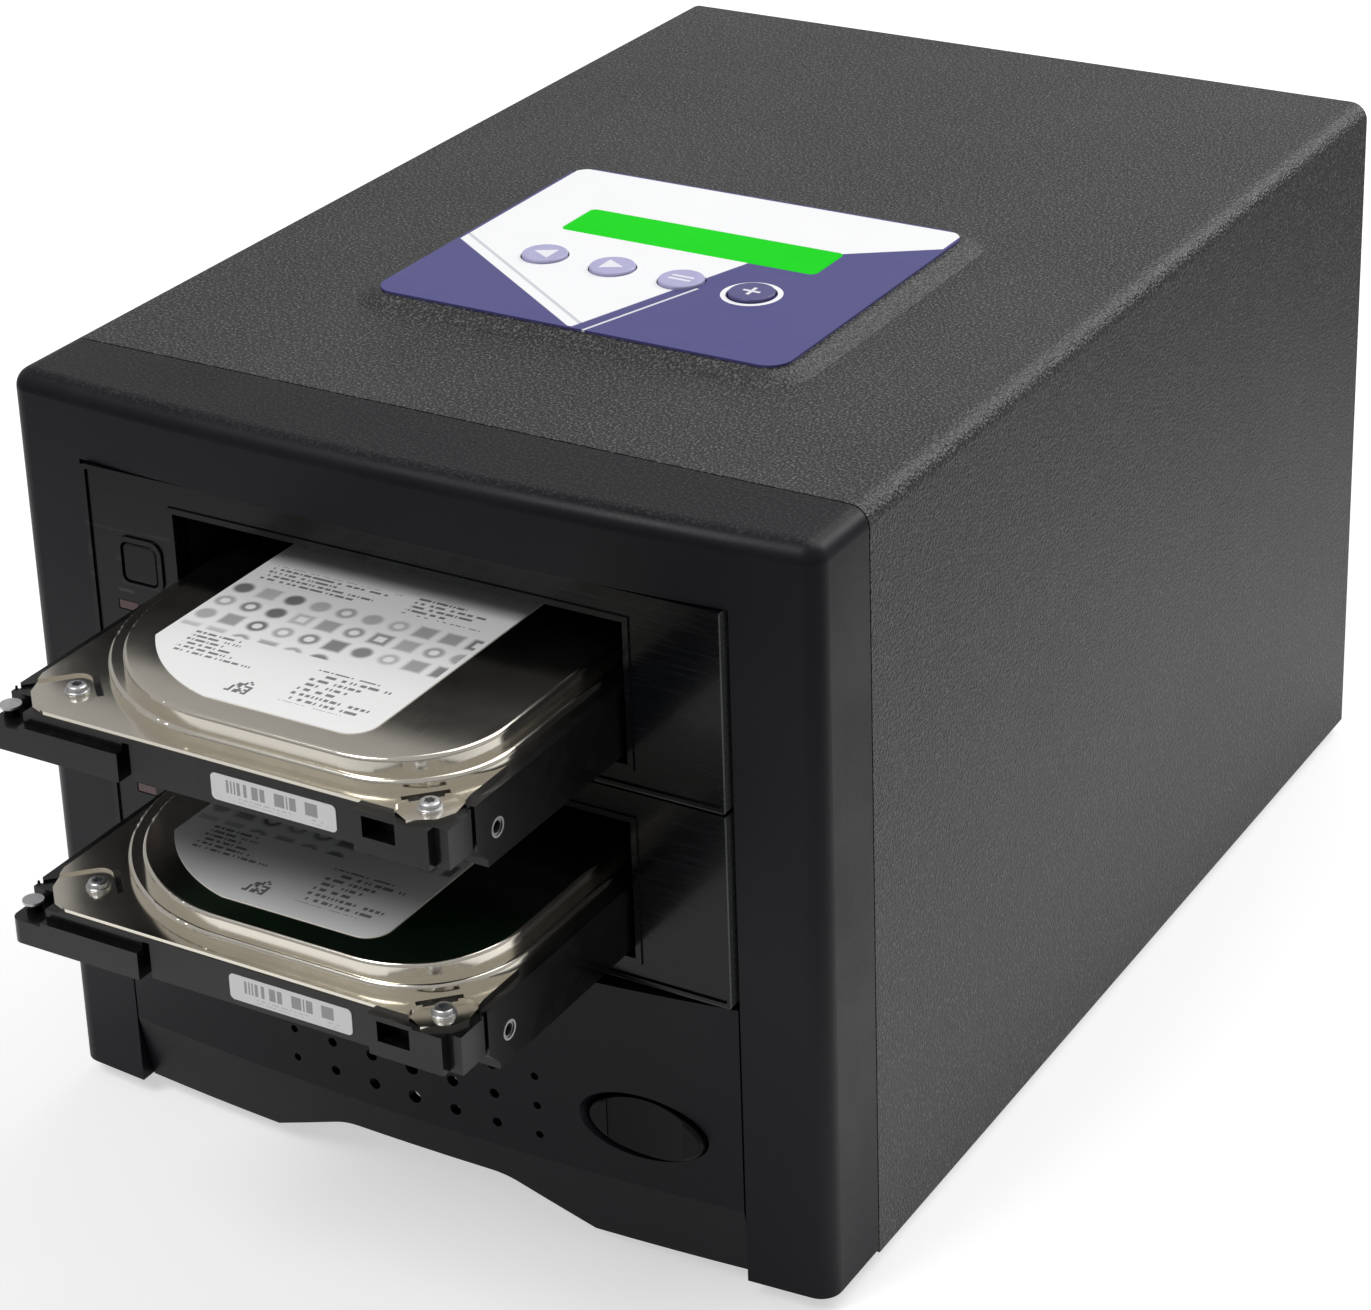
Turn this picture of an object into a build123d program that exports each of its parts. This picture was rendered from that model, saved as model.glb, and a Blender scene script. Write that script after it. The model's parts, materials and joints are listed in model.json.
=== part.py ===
from build123d import *
import math
import os

# Desktop hard drive duplicator: a steel case with a moulded front, two drive racks and a control panel.
# X runs to the right, Y to the back and Z up. The origin is the middle of the base of the whole object,
# with both drives standing out of their racks as they are stored.

# Case
case_width = 184.0
case_height = 162.0
case_depth = 267.0
foot_height = 3.0
foot_radius = 7.0
foot_inset = 18.0
sheet = 1.0
edge_radius = 4.0
corner_extra = 0.5
floor_flange = 14.0
rear_lip = 9.0
cover_gap = 0.3
part_gap = 0.4

# Front bezel and lower panel
bezel_depth = 19.5
bezel_wall = 2.4
bezel_rise = 1.0
bezel_tongue = 5.0
tongue_wall = 1.4
band_height = 15.4
band_bow = 4.0
bay_width = 148.4
bay_pitch = 41.9
bay_count = 2
opening_return = 1.8
panel_wall = 2.2
panel_bow_top = 6.4
panel_bow_crease = 3.6
panel_crease_height = 15.8
panel_setback = 3.2
panel_return = 9.0
arch_width = 78.0
arch_height = 8.0
hole_columns = 7
hole_rows = 3
hole_column_pitch = 9.8
hole_row_pitch = 7.0
hole_row_height = 22.5
hole_large = 3.0
hole_step = 0.42

# Oval power button
oval_x = 53.5
oval_height = 30.8
oval_length = 26.0
oval_width = 12.6
oval_clearance = 0.35
oval_lip = 2.0
oval_stand = 1.2
oval_depth = 9.0
oval_travel = 2.0
collar_depth = 6.0
collar_wall = 1.4
stem_radius = 2.5
stem_length = 22.0
stem_clearance = 0.3

# Drive rack
rack_side_gap = 1.0
rack_level_gap = 0.5
rack_face_depth = 4.0
rack_rim = 1.0
rack_rim_stand = 0.5
rack_face_stand = 2.1
rail_height = 1.5
rail_width = 5.0
rack_wall = 1.6
slot_width = 103.2
slot_height = 29.6
slot_floor = 5.2
slot_offset = 0.6
slot_lip = 1.2
slot_lip_stand = 0.4
rack_button_size = 8.4
rack_button_radius = 1.4
rack_button_x = -60.4
rack_button_height = 21.7
rack_button_gap = 0.3
rack_button_ring = 1.1
rack_button_stand = 0.3
rack_button_depth = 8.0
rack_button_travel = 1.5
rack_button_stem = 3.0
rack_switch_depth = 1.7
rack_switch_size = 6.0
press_gap = 0.3
lamp_width = 5.0
lamp_height = 2.2
lamp_x = -64.6
lamp_level = 11.6
switch_board_depth = 1.6
backplane_thickness = 1.6

# Hard drive
drive_width = 101.6
drive_length = 147.0
drive_height = 20.2
drive_rest_out = 61.4
drive_home_out = 6.0
home_gap = 1.0
drive_floor_gap = 0.3
rim_height = 14.6
nose_length = 13.4
nose_rise = 5.4
hole_height = 6.35
first_hole = 16.9
side_hole_pitch = 60.0
last_hole = 118.5
side_hole_radius = 1.6
side_hole_bore = 4.0
board_recess = 2.6
board_thickness = 1.2
lid_inset = 2.2
lid_sheet = 0.8
lid_screw_radius = 2.4
lid_screw_height = 1.6
lid_screw_shaft = 1.4
lid_screw_length = 5.0
lid_screw_fit = 0.1
socket_radius = 1.25
socket_depth = 0.9
field_left = 3.4
field_right = 2.0
field_front = 5.0
field_back = 14.0
field_step = 2.2
bead_width = 6.4
bead_front = 1.0
bead_edge = 0.8
bead_right = 1.9
disk_corner = 42.0
arm_corner = 22.0
tab_width = 12.5
tab_reach = 3.2
tab_open = 16.0
tab_radius = 3.0
tab_drop = 0.5
tab_slit = 1.3
tab_slit_length = 8.8
board_front = 26.0
board_back = 10.0
board_side = 8.5
lid_post_radius = 1.5
label_thickness = 0.15
label_left = 19.0
label_right = 77.0
label_front = 12.0
label_back = 100.0
label_cut = 16.0
nose_bar = 30.5
nose_setback = 1.8
nose_drop = 2.6
nose_notch = 1.6
corner_block = 19.0
corner_drop = 3.4
corner_reach = 7.5
post_drop = 1.4
boss_radius = 3.0
side_groove = 1.2
side_groove_depth = 0.8
side_groove_place = 9.0

# Drive connector
connector_width = 38.0
connector_height = 5.4
connector_offset = -18.0
connector_notch_depth = 9.0
connector_back = 3.0
blade_thickness = 1.2
data_blade = 10.0
power_blade = 20.0
blade_length = 4.4
blade_gap = 0.35
socket_clearance = 0.5

# Control panel
panel_x = 0.8
panel_from_front = 104.0
overlay_width = 96.8
overlay_depth = 81.6
overlay_radius = 5.0
overlay_thickness = 0.5
plateau_rise = 2.0
plateau_slope = 4.0
display_x = 0.3
display_from_front = 116.4
display_width = 62.0
display_depth = 13.2
display_glass_thickness = 1.6
module_width = 71.2
module_depth = 24.2
module_height = 5.4
module_board_width = 80.0
module_board_depth = 36.0
key_radius = 4.9
key_clearance = 0.3
key_stand = 0.7
key_travel = 0.5
key_flange = 1.0
key_flange_height = 1.0
key_stem_radius = 2.0
key_from_front = 94.8
key_pitch = 16.7
key_count = 4
control_drop = 7.6
control_board = 1.6
control_stud_radius = 2.5
key_switch_size = 6.0
key_switch_height = 3.5

# Cage that holds the racks
cage_sheet = 1.0
cage_flange = 8.0
rack_screw_radius = 1.5
rack_screw_head = 3.0
rack_screw_head_height = 1.8
rack_screw_length = 4.0
rack_screw_from_front = (45.0, 124.0)

# Rear fan and power supply
fan_size = 80.0
fan_depth = 25.0
fan_bore_radius = 37.6
fan_drop = 57.0
fan_x = 0.0
supply_width = 81.5
supply_height = 42.0
supply_depth = 150.0
supply_side_gap = 1.5
supply_sheet = 0.8
supply_fan_size = 38.0
supply_fan_depth = 15.0
supply_fan_bore_radius = 17.4
inlet_width = 27.6
inlet_height = 20.0
inlet_depth = 18.0
rocker_frame_width = 20.0
rocker_frame_height = 13.0
rocker_frame_depth = 12.0
rocker_frame_wall = 1.4
rocker_recess = 9.0
rocker_gap = 0.4
rocker_pivot_depth = 2.4
rocker_pin_radius = 1.0
rocker_tilt = 9.0
frame_stand = 0.8
rotor_clearance = 0.8
fan_blades = 7
shaft_radius = 1.5
shaft_clearance = 0.05
grille_rings = 4
grille_bar = 2.2
grille_slot = 5.6
fastener_radius = 1.8
fastener_head = 3.4
fastener_head_height = 1.6

# Controller board
board_gap = 5.0
controller_depth = 100.0
controller_level = 8.0
standoff_radius = 2.5

# Places worked out from the sizes above
base_z = foot_height
top_z = foot_height + case_height
case_middle = (drive_rest_out - fastener_head_height) / 2
front_y = case_middle - case_depth / 2
rear_y = case_middle + case_depth / 2
seam_y = front_y + bezel_depth
opening_top = top_z - band_height
opening_low = opening_top - bay_count * bay_pitch
rack_width = bay_width - 2 * rack_side_gap
rack_height = bay_pitch - rack_level_gap
rack_front = front_y - rack_face_stand
rack_back = front_y - drive_home_out + drive_length + home_gap
floor_top = base_z + sheet
rear_panel_y = rear_y - sheet - cover_gap
rack_names = ("lower", "upper")
drive_front = front_y - drive_rest_out
supply_back = rear_panel_y - sheet
fan_level = top_z - fan_drop
opening_edge = front_y - band_bow * (1 - (bay_width / case_width) ** 2)
key_middle = panel_x - 0.9


def block(x, y, z):
    """Box between the two ends of each span."""
    size = [high - low for low, high in (x, y, z)]
    middle = [(low + high) / 2 for low, high in (x, y, z)]
    return Pos(*middle) * Box(*size)


def rod_y(radius, x, z, y_low, y_high):
    """Round bar along Y."""
    return Pos(x, (y_low + y_high) / 2, z) * Rot(90, 0, 0) * Cylinder(radius, y_high - y_low)


def rod_x(radius, y, z, x_low, x_high):
    """Round bar along X."""
    return Pos((x_low + x_high) / 2, y, z) * Rot(0, 90, 0) * Cylinder(radius, x_high - x_low)


def rod_z(radius, x, y, z_low, z_high):
    """Round bar along Z."""
    return Pos(x, y, (z_low + z_high) / 2) * Cylinder(radius, z_high - z_low)


def upright(face, y_low, y_high):
    """Face drawn in X and Z, pulled from one Y to another."""
    return extrude(Plane((0, y_low, 0), x_dir=(1, 0, 0), z_dir=(0, -1, 0)) * face, -(y_high - y_low))


def arched(width, low, high, radius):
    """Upright rectangle on the centre line whose two upper corners are round."""
    face = Pos(0, (low + high) / 2) * Rectangle(width, high - low)
    return fillet(face.vertices().group_by(Axis.Y)[-1], radius)


def bow_line(half, edge_y, bow):
    """Arc across the front that stands forward by the bow in the middle."""
    return ThreePointArc((-half, edge_y), (0, edge_y - bow), (half, edge_y))


def bowed_face(half, edge_y, bow, back_y):
    """Plan outline with a bowed front edge and a straight back."""
    outline = bow_line(half, edge_y, bow)
    outline += Polyline((half, edge_y), (half, back_y), (-half, back_y), (-half, edge_y))
    return make_face(outline)


def rack_base(level):
    """Height of the underside of one rack."""
    return opening_low + level * bay_pitch + rack_level_gap / 2


def plateau(inset, shift):
    """Raised field of the cover with sloped sides, as a solid."""
    lift = plateau_rise
    centre = Pos(panel_x, front_y + panel_from_front, 0)
    width = overlay_width + 2 - 2 * inset
    depth = overlay_depth + 2 - 2 * inset
    radius = overlay_radius + 1 - inset
    spread = 2 * plateau_slope
    top = RectangleRounded(width, depth, radius)
    foot = RectangleRounded(width + spread, depth + spread, radius + plateau_slope)
    low = centre * Pos(0, 0, top_z - shift) * foot
    high = centre * Pos(0, 0, top_z - shift + lift) * top
    return loft([low, high])


def display_place():
    """Middle of the display on the panel."""
    return Pos(display_x, front_y + display_from_front, 0)


def key_places():
    """Middles of the keys, from left to right."""
    first = key_middle - key_pitch * (key_count - 1) / 2
    return [(first + key_pitch * i, front_y + key_from_front) for i in range(key_count)]


def control_studs():
    """Places of the studs that hold the two boards under the cover."""
    module_x = module_board_width / 2 - 3
    module_y = module_board_depth / 2 - 3
    middle_y = front_y + display_from_front
    studs = [(display_x + sx * module_x, middle_y + sy * module_y) for sx in (-1, 1) for sy in (-1, 1)]
    return studs


def key_board_studs():
    """Places of the two studs of the key board."""
    reach = key_pitch * (key_count - 1) / 2 + 9
    y = front_y + key_from_front
    return [(key_middle - reach, y), (key_middle + reach, y)]


def make_top_cover():
    """Bent sheet with a top, two sides, a rear lip and the raised field for the controls."""
    start = seam_y + part_gap / 2
    outer = upright(arched(case_width, base_z, top_z, edge_radius), start, rear_y)
    inner_width = case_width - 2 * sheet
    inner_radius = edge_radius - sheet
    inner = upright(arched(inner_width, base_z - 1, top_z - sheet, inner_radius), start - 1, rear_y - sheet)
    window_width = case_width - 2 * rear_lip
    window = arched(window_width, base_z - 1, top_z - rear_lip, edge_radius)
    cover = outer - inner - upright(window, rear_y - 2 * sheet, rear_y + 1)
    raised = plateau(0, 0)
    raised = fillet(raised.edges().group_by(Axis.Z)[-1], 1.2)
    cover = cover + raised - plateau(sheet, sheet)
    display = Box(display_width + 4, display_depth + 3, 4 * plateau_rise)
    cover = cover - display_place() * Pos(0, 0, top_z) * display
    for x, y in key_places():
        cover = cover - rod_z(key_radius + key_clearance, x, y, top_z - 3, top_z + 4)
    for x, z in cover_screw_places():
        cover = cover - rod_y(fastener_radius + 0.2, x, z, rear_y - 2 * sheet, rear_y + 1)
    stud_top = top_z + plateau_rise - sheet / 2
    for x, y in control_studs() + key_board_studs():
        cover = cover + rod_z(control_stud_radius, x, y, top_z - control_drop, stud_top)
    return cover


def cover_screw_places():
    """Rear screws that hold the lip of the cover to the rear panel."""
    side = case_width / 2 - rear_lip / 2 - 0.3
    low = base_z + 20
    high = base_z + case_height - 30
    return [(side, low), (side, high), (-side, low), (-side, high)]


def make_chassis_base():
    """Folded steel floor with side and front flanges."""
    half = case_width / 2 - sheet - cover_gap
    front = seam_y + 2
    back = rear_panel_y - sheet
    floor = block((-half, half), (front, back), (base_z, floor_top))
    for side in (-1, 1):
        wall = sorted((side * half, side * (half - sheet)))
        floor += block(wall, (front, back), (base_z, base_z + floor_flange))
    floor += block((-half, half), (front, front + sheet), (base_z, base_z + floor_flange))
    for x, y in foot_places():
        floor -= rod_z(1.6, x, y, base_z - 1, floor_top + 1)
    return floor


def foot_places():
    """Middles of the four feet."""
    x = case_width / 2 - foot_inset
    inset = foot_inset + 10
    return [(side * x, y) for side in (-1, 1) for y in (front_y + inset, rear_y - inset)]


def make_feet():
    """Rubber feet, each with its push-in stem."""
    feet = []
    for x, y in foot_places():
        foot = rod_z(foot_radius, x, y, 0, base_z)
        foot = fillet(foot.edges().group_by(Axis.Z)[0], 0.8)
        feet.append(foot + rod_z(1.5, x, y, base_z, floor_top))
    return feet


def ring_slots(x, z, inner, y_low, y_high, rings, slot, bar):
    """Rings of curved slots, cut by a cross of four bars."""
    cutter = None
    for i in range(rings):
        low = inner + i * (slot + bar)
        ring = Circle(low + slot) - Circle(low)
        ring = upright(Pos(x, z) * ring, y_low, y_high)
        cutter = ring if cutter is None else cutter + ring
    reach = inner + rings * (slot + bar)
    spoke = Box(bar * 1.6, y_high - y_low + 2, 2 * reach)
    for turn in (45, 135):
        cutter = cutter - Pos(x, (y_low + y_high) / 2, z) * Rot(0, turn, 0) * spoke
    return cutter


def supply_span():
    """Left and right side of the power supply, which lies between the cage sides."""
    right = rack_width / 2 - supply_side_gap
    return right - supply_width, right


def supply_fan_place():
    """Middle of the supply's own fan."""
    left = supply_span()[0]
    return left + supply_fan_size / 2 + 2.2, floor_top + supply_height / 2


def inlet_place():
    """Middle of the mains inlet."""
    right = supply_span()[1]
    return right - inlet_width / 2 - 4, floor_top + supply_height - inlet_height / 2 - 2


def rocker_place():
    """Middle of the mains switch, under the inlet."""
    return inlet_place()[0], floor_top + 9.6


def make_rear_panel():
    """Steel rear panel with the fan grille and the window for the power supply."""
    half = case_width / 2 - sheet - cover_gap
    low = base_z
    high = top_z - sheet - cover_gap
    y_low, y_high = rear_panel_y - sheet, rear_panel_y
    panel = block((-half, half), (y_low, y_high), (low, high))
    corner = panel.edges().filter_by(Axis.Y).group_by(Axis.Z)[-1]
    panel = fillet(corner, edge_radius - sheet)
    for side in (-1, 1):
        wall = sorted((side * half, side * (half - sheet)))
        panel += block(wall, (y_low - 12, y_low), (base_z + floor_flange + 1, high - edge_radius))
    panel -= ring_slots(fan_x, fan_level, 5, y_low - 1, y_high + 1, grille_rings, grille_slot, grille_bar)
    for x, z in fan_screw_places() + cover_screw_places():
        panel -= rod_y(fastener_radius + 0.2, x, z, y_low - 1, y_high + 1)
    left, right = supply_span()
    margin = 2.0
    window_z = (floor_top + margin, floor_top + supply_height - margin)
    panel -= block((left + margin, right - margin), (y_low - 1, y_high + 1), window_z)
    return panel


def fan_screw_places():
    """Corner screws of the rear fan."""
    reach = fan_screw_reach(fan_size)
    return [(fan_x + sx * reach, fan_level + sz * reach) for sx in (-1, 1) for sz in (-1, 1)]


def bezel_plan(inset):
    """Plan of the front with round corners and a bow, drawn in from its outside by an inset."""
    plan = bowed_face(case_width / 2 - inset, front_y + inset, band_bow, seam_y - part_gap / 2 + inset)
    return fillet(plan.vertices().group_by(Axis.Y)[:-1], edge_radius + corner_extra - inset / 2)


def make_front_bezel():
    """Moulded front: bowed top band over a wide opening between two side strips."""
    low = base_z + bezel_rise
    bay_half = bay_width / 2
    back = seam_y - part_gap / 2
    ends = (front_y - band_bow - 1, back + 1)
    solid = extrude(Pos(0, 0, low) * bezel_plan(0), top_z - low)
    upper = solid.edges().group_by(Axis.Z)[-1]
    solid = fillet([edge for edge in upper if edge.center().Y < back - 1], edge_radius)
    hollow = extrude(Pos(0, 0, low - 1) * bezel_plan(bezel_wall), top_z - bezel_wall - low + 1)
    frame_half = bay_half + opening_return
    frame_top = opening_top + opening_return
    frame = block((-frame_half, frame_half), (front_y - band_bow, back - 6), (low, frame_top))
    solid = solid - (hollow - frame)
    solid = solid - block((-bay_half, bay_half), ends, (low - 1, opening_top))
    return solid + bezel_tongue_ring()


def bezel_tongue_ring():
    """Tongue behind the bezel that slides inside the front edge of the cover."""
    width = case_width - 2 * (sheet + cover_gap)
    low = base_z + floor_flange + 2
    high = top_z - sheet - cover_gap
    outside = arched(width, low, high, edge_radius - sheet)
    inside = arched(width - 2 * tongue_wall, low - 1, high - tongue_wall, edge_radius - sheet - 1)
    return upright(outside - inside, seam_y - 3, seam_y + bezel_tongue)


def make_lower_panel():
    """Bowed panel under the racks, with its ventilation holes, arch and button collar."""
    half = bay_width / 2 - part_gap
    high = opening_low - part_gap
    low = base_z + bezel_rise
    crease = low + panel_crease_height
    back = opening_edge + panel_return

    def shell(inset):
        """Body between the top, the crease and the lower edge."""
        edge = opening_edge + inset
        top = Pos(0, 0, high - inset) * bowed_face(half - inset, edge, panel_bow_top, back)
        middle = Pos(0, 0, crease) * bowed_face(half - inset, edge, panel_bow_crease, back)
        foot = Pos(0, 0, low) * bowed_face(half - inset, edge + panel_setback, panel_bow_crease, back)
        return loft([middle, top]) + loft([foot, middle])

    outer = shell(0)
    inner_half = half - panel_wall
    behind = block((-inner_half, inner_half), (back - 1, back + 1), (low, high - panel_wall))
    panel = outer - shell(panel_wall) - behind
    panel = panel - upright(arch_face(low), front_y - 20, front_y + 40)
    for x, z, radius in vent_holes():
        panel -= rod_y(radius, x, z, front_y - 20, front_y + 6)
    return panel + button_collar(outer) - button_bore()


def arch_face(low):
    """Flat-topped arch with rounded shoulders, in X and Z."""
    half = arch_width / 2
    shoulder = arch_width / 4
    points = [(-half, low - 1), (-half, low), (-half + shoulder, low + arch_height)]
    points += [(half - shoulder, low + arch_height), (half, low), (half, low - 1)]
    face = make_face(Polyline(*points, close=True))
    return fillet(face.vertices().group_by(Axis.Y)[-1], 16)


def vent_holes():
    """Ventilation holes, largest in the middle column."""
    holes = []
    for column in range(hole_columns):
        from_middle = column - (hole_columns - 1) / 2
        radius = (hole_large - hole_step * abs(from_middle)) / 2
        for row in range(hole_rows):
            height = base_z + hole_row_height + row * hole_row_pitch
            holes.append((from_middle * hole_column_pitch, height, radius))
    return holes


def oval(extra):
    """Outline of the power button, grown by a margin all round."""
    return Pos(oval_x, base_z + oval_height) * Ellipse(oval_length / 2 + extra, oval_width / 2 + extra)


def oval_front():
    """Depth of the bowed face at the power button, halfway between the crease and the top."""
    share = 1 - (oval_x / (bay_width / 2)) ** 2
    return opening_edge - (panel_bow_crease + panel_bow_top) / 2 * share


def button_collar(outer):
    """Tube behind the panel that guides the power button."""
    tube = upright(oval(oval_clearance + collar_wall), oval_front() - 5, front_y + collar_depth)
    behind = block((0, bay_width / 2 - 3), (front_y, front_y + collar_depth), (base_z + 10, opening_low))
    return tube & (outer + behind)


def button_bore():
    """Bore for the power button with its soft outer lip."""
    start = oval_front()
    bore = upright(oval(oval_clearance), start - 6, front_y + collar_depth + 1)
    mouth = Plane((0, start - 2.2, 0), x_dir=(1, 0, 0), z_dir=(0, -1, 0)) * oval(oval_clearance + oval_lip)
    throat = Plane((0, start + 1.4, 0), x_dir=(1, 0, 0), z_dir=(0, -1, 0)) * oval(oval_clearance)
    return bore + loft([mouth, throat])


def button_face():
    """Depth of the power button's outer face."""
    return oval_front() + 0.8 - oval_stand


def make_power_button():
    """Oval button with a dished middle and a stem that works the switch."""
    face_y = button_face()
    button = upright(oval(0), face_y, face_y + oval_depth)
    button = fillet(button.edges().group_by(Axis.Y)[0], 1.0)
    z = base_z + oval_height
    dish_radius = 60.0
    dish_depth = 0.9
    dish = Pos(oval_x, face_y + dish_depth - dish_radius, z) * Cylinder(dish_radius, 3 * oval_width)
    reach = oval_length * 0.33
    middle = Pos(oval_x, face_y, z) * Box(2 * reach, 10, 2 * oval_width)
    button -= dish & middle
    return button + rod_y(stem_radius, oval_x, z, face_y + oval_depth, stem_end())


def stem_end():
    """Far end of the power button's stem."""
    return button_face() + oval_depth + stem_length


def make_power_switch():
    """Switch body on a bracket that stands on the case floor."""
    z = base_z + oval_height
    front = stem_end() - 5
    body = block((oval_x - 8, oval_x + 8), (front, front + 14), (z - 7, z + 7))
    body -= rod_y(stem_radius + stem_clearance, oval_x, z, front - 1, stem_end() + oval_travel + press_gap)
    for pin in (-4, 4):
        body += block((oval_x + pin - 0.4, oval_x + pin + 0.4), (front + 14, front + 18), (z - 2.5, z + 2.5))
    post = block((oval_x - 7, oval_x + 7), (front + 2, front + 3.2), (floor_top, z - 7))
    foot = block((oval_x - 7, oval_x + 7), (front + 2, front + 13), (floor_top, floor_top + 1.2))
    return body + post + foot


def slot_face(base, grow):
    """Opening of one rack slot, in X and Z."""
    middle = base + slot_floor + slot_height / 2
    return Pos(slot_offset, middle) * Rectangle(slot_width + 2 * grow, slot_height + 2 * grow)


def rack_button_face(base, grow):
    """Rounded square of a rack button, in X and Z."""
    size = rack_button_size + 2 * grow
    face = RectangleRounded(size, size, rack_button_radius + grow)
    return Pos(rack_button_x, base + rack_button_height) * face


def lamp_face(base, grow):
    """Window of a rack lamp, in X and Z."""
    return Pos(lamp_x, base + lamp_level) * Rectangle(lamp_width + 2 * grow, lamp_height + 2 * grow)


def make_rack_fascia(base):
    """Front frame of a rack with a thin raised rim and a lip round the slot."""
    middle = base + rack_height / 2
    plate = Pos(0, middle) * RectangleRounded(rack_width, rack_height, 0.8)
    field = RectangleRounded(rack_width - 2 * rack_rim, rack_height - 2 * rack_rim, 0.5)
    rim = plate - Pos(0, middle) * field
    body = upright(plate, rack_front, rack_front + rack_face_depth)
    body += upright(rim, rack_front - rack_rim_stand, rack_front + 1)
    body += upright(slot_face(base, slot_lip), rack_front - slot_lip_stand, rack_front + 1)
    ring = rack_button_face(base, rack_button_gap + rack_button_ring)
    body += upright(ring, rack_front - rack_rim_stand, rack_front + 1)
    for cut in (slot_face(base, 0), rack_button_face(base, rack_button_gap), lamp_face(base, 0)):
        body -= upright(cut, rack_front - 2, rack_front + rack_face_depth + 1)
    return body


def make_rack_housing(base):
    """Moulded rack body: outer walls round the inner channel that guides the drive."""
    start = rack_front + rack_face_depth
    end = rack_back
    middle = base + rack_height / 2
    outer = Pos(0, middle) * Rectangle(rack_width, rack_height)
    hollow = Pos(0, middle) * Rectangle(rack_width - 2 * rack_wall, rack_height - 2 * rack_wall)
    channel = slot_face(base, rack_wall)
    section = outer - hollow + channel
    for side in (-1, 1):
        x = slot_offset + side * (slot_width / 2 + rack_wall / 2)
        section += Pos(x, middle) * Rectangle(rack_wall, rack_height)
    section -= slot_face(base, 0)
    for side in (-1, 1):
        x = slot_offset + side * (slot_width - rail_width) / 2
        section += Pos(x, base + slot_floor + rail_height / 2) * Rectangle(rail_width, rail_height)
    body = upright(section, start, end)
    for y in rack_screw_from_front:
        for side in (-1, 1):
            x = side * rack_width / 2
            bore = rod_x(rack_screw_radius + 0.1, front_y + y, middle, x - 3, x + 3)
            body -= bore
    return body


def rack_button_front():
    """Depth of the outer face of a rack button."""
    return rack_front - rack_button_stand


def make_rack_button(base):
    """Square push button of a rack."""
    front = rack_button_front()
    button = upright(rack_button_face(base, 0), front, front + rack_button_depth)
    button = fillet(button.edges().group_by(Axis.Y)[0], 0.5)
    z = base + rack_button_height
    start = front + rack_button_depth
    return button + rod_y(1.6, rack_button_x, z, start, start + rack_button_stem)


def rack_board_y():
    """Front face of the switch board behind a rack fascia."""
    pressed = rack_button_front() + rack_button_depth + rack_button_stem + rack_button_travel
    return pressed + press_gap + rack_switch_depth


def make_rack_lamp(base):
    """Lamp window and light guide down to the switch board."""
    y = rack_front
    guide = upright(lamp_face(base, -part_gap / 2), y + 0.1, y + rack_face_depth)
    end = rack_board_y()
    guide += upright(lamp_face(base, -0.4), y + rack_face_depth, end)
    return guide


def make_rack_switch_board(base):
    """Small board with the push switch, held between the walls of the rack's left pocket."""
    y = rack_board_y()
    left = -rack_width / 2 + rack_wall
    right = slot_offset - slot_width / 2 - rack_wall
    z_low = base + rack_wall
    z_high = base + rack_height - rack_wall
    board = block((left, right), (y, y + switch_board_depth), (z_low, z_high))
    z = base + rack_button_height
    half = rack_switch_size / 2
    across = (rack_button_x - half, rack_button_x + half)
    return board + block(across, (y - rack_switch_depth, y), (z - half, z + half))


def drive_x():
    """Left side of the drives."""
    return slot_offset - drive_width / 2


def drive_low(base):
    """Underside of a drive in its rack."""
    return base + slot_floor + rail_height + drive_floor_gap


def seated_travel():
    """How far a drive still goes in from rest until it is home."""
    return drive_rest_out - drive_home_out


def side_hole_places():
    """Distance of the side holes from the front end of a drive."""
    return first_hole, first_hole + side_hole_pitch, last_hole


def make_drive_casting(base):
    """Cast base of a drive: rails, stepped nose, corner post, side holes and connector notch."""
    left = drive_x()
    right = left + drive_width
    low = drive_low(base)
    rim = low + rim_height - lid_sheet
    front = drive_front
    back = front + drive_length
    plan = Pos((left + right) / 2, (front + back) / 2, low) * RectangleRounded(drive_width, drive_length, 2.2)
    body = extrude(plan, rim - low)
    body -= block((left - 1, right + 1), (front - 1, front + nose_length), (low - 1, low + nose_rise))
    body = chamfer(edges_near(body, front + nose_length, low + nose_rise), 4.0)
    body -= extrude(drive_board_face(base, 0.3), board_recess)
    body += extrude(lid_field(2 * lid_sheet, True, rim), low + drive_height - 2 * lid_sheet - rim)
    body += rod_z(boss_radius, right - 6.4, front + boss_radius, low + nose_rise, rim)
    for place, turn in lid_tabs():
        body -= extrude(Pos(0, 0, rim - tab_drop) * tab_face(place, turn), tab_drop + 1)
    for x, y in lid_screw_places():
        body -= rod_z(lid_screw_shaft + lid_screw_fit, x, y, rim - lid_screw_length, rim + 1)
    for y in side_hole_places():
        for x, inward in ((left, 1), (right, -1)):
            ends = sorted((x - inward, x + inward * side_hole_bore))
            body -= rod_x(side_hole_radius, front + y, low + hole_height, *ends)
    across, upward = connector_span(base)
    body -= block(across, (back - connector_notch_depth, back + 1), (low - 1, upward[1]))
    for cut in nose_cuts(left, right, front, low, rim):
        body -= cut
    post_x = left + lid_post_radius + 0.8
    post_y = front + lid_post_radius + 3
    return body + rod_z(lid_post_radius, post_x, post_y, rim - corner_drop - 1, rim - post_drop)


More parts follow.
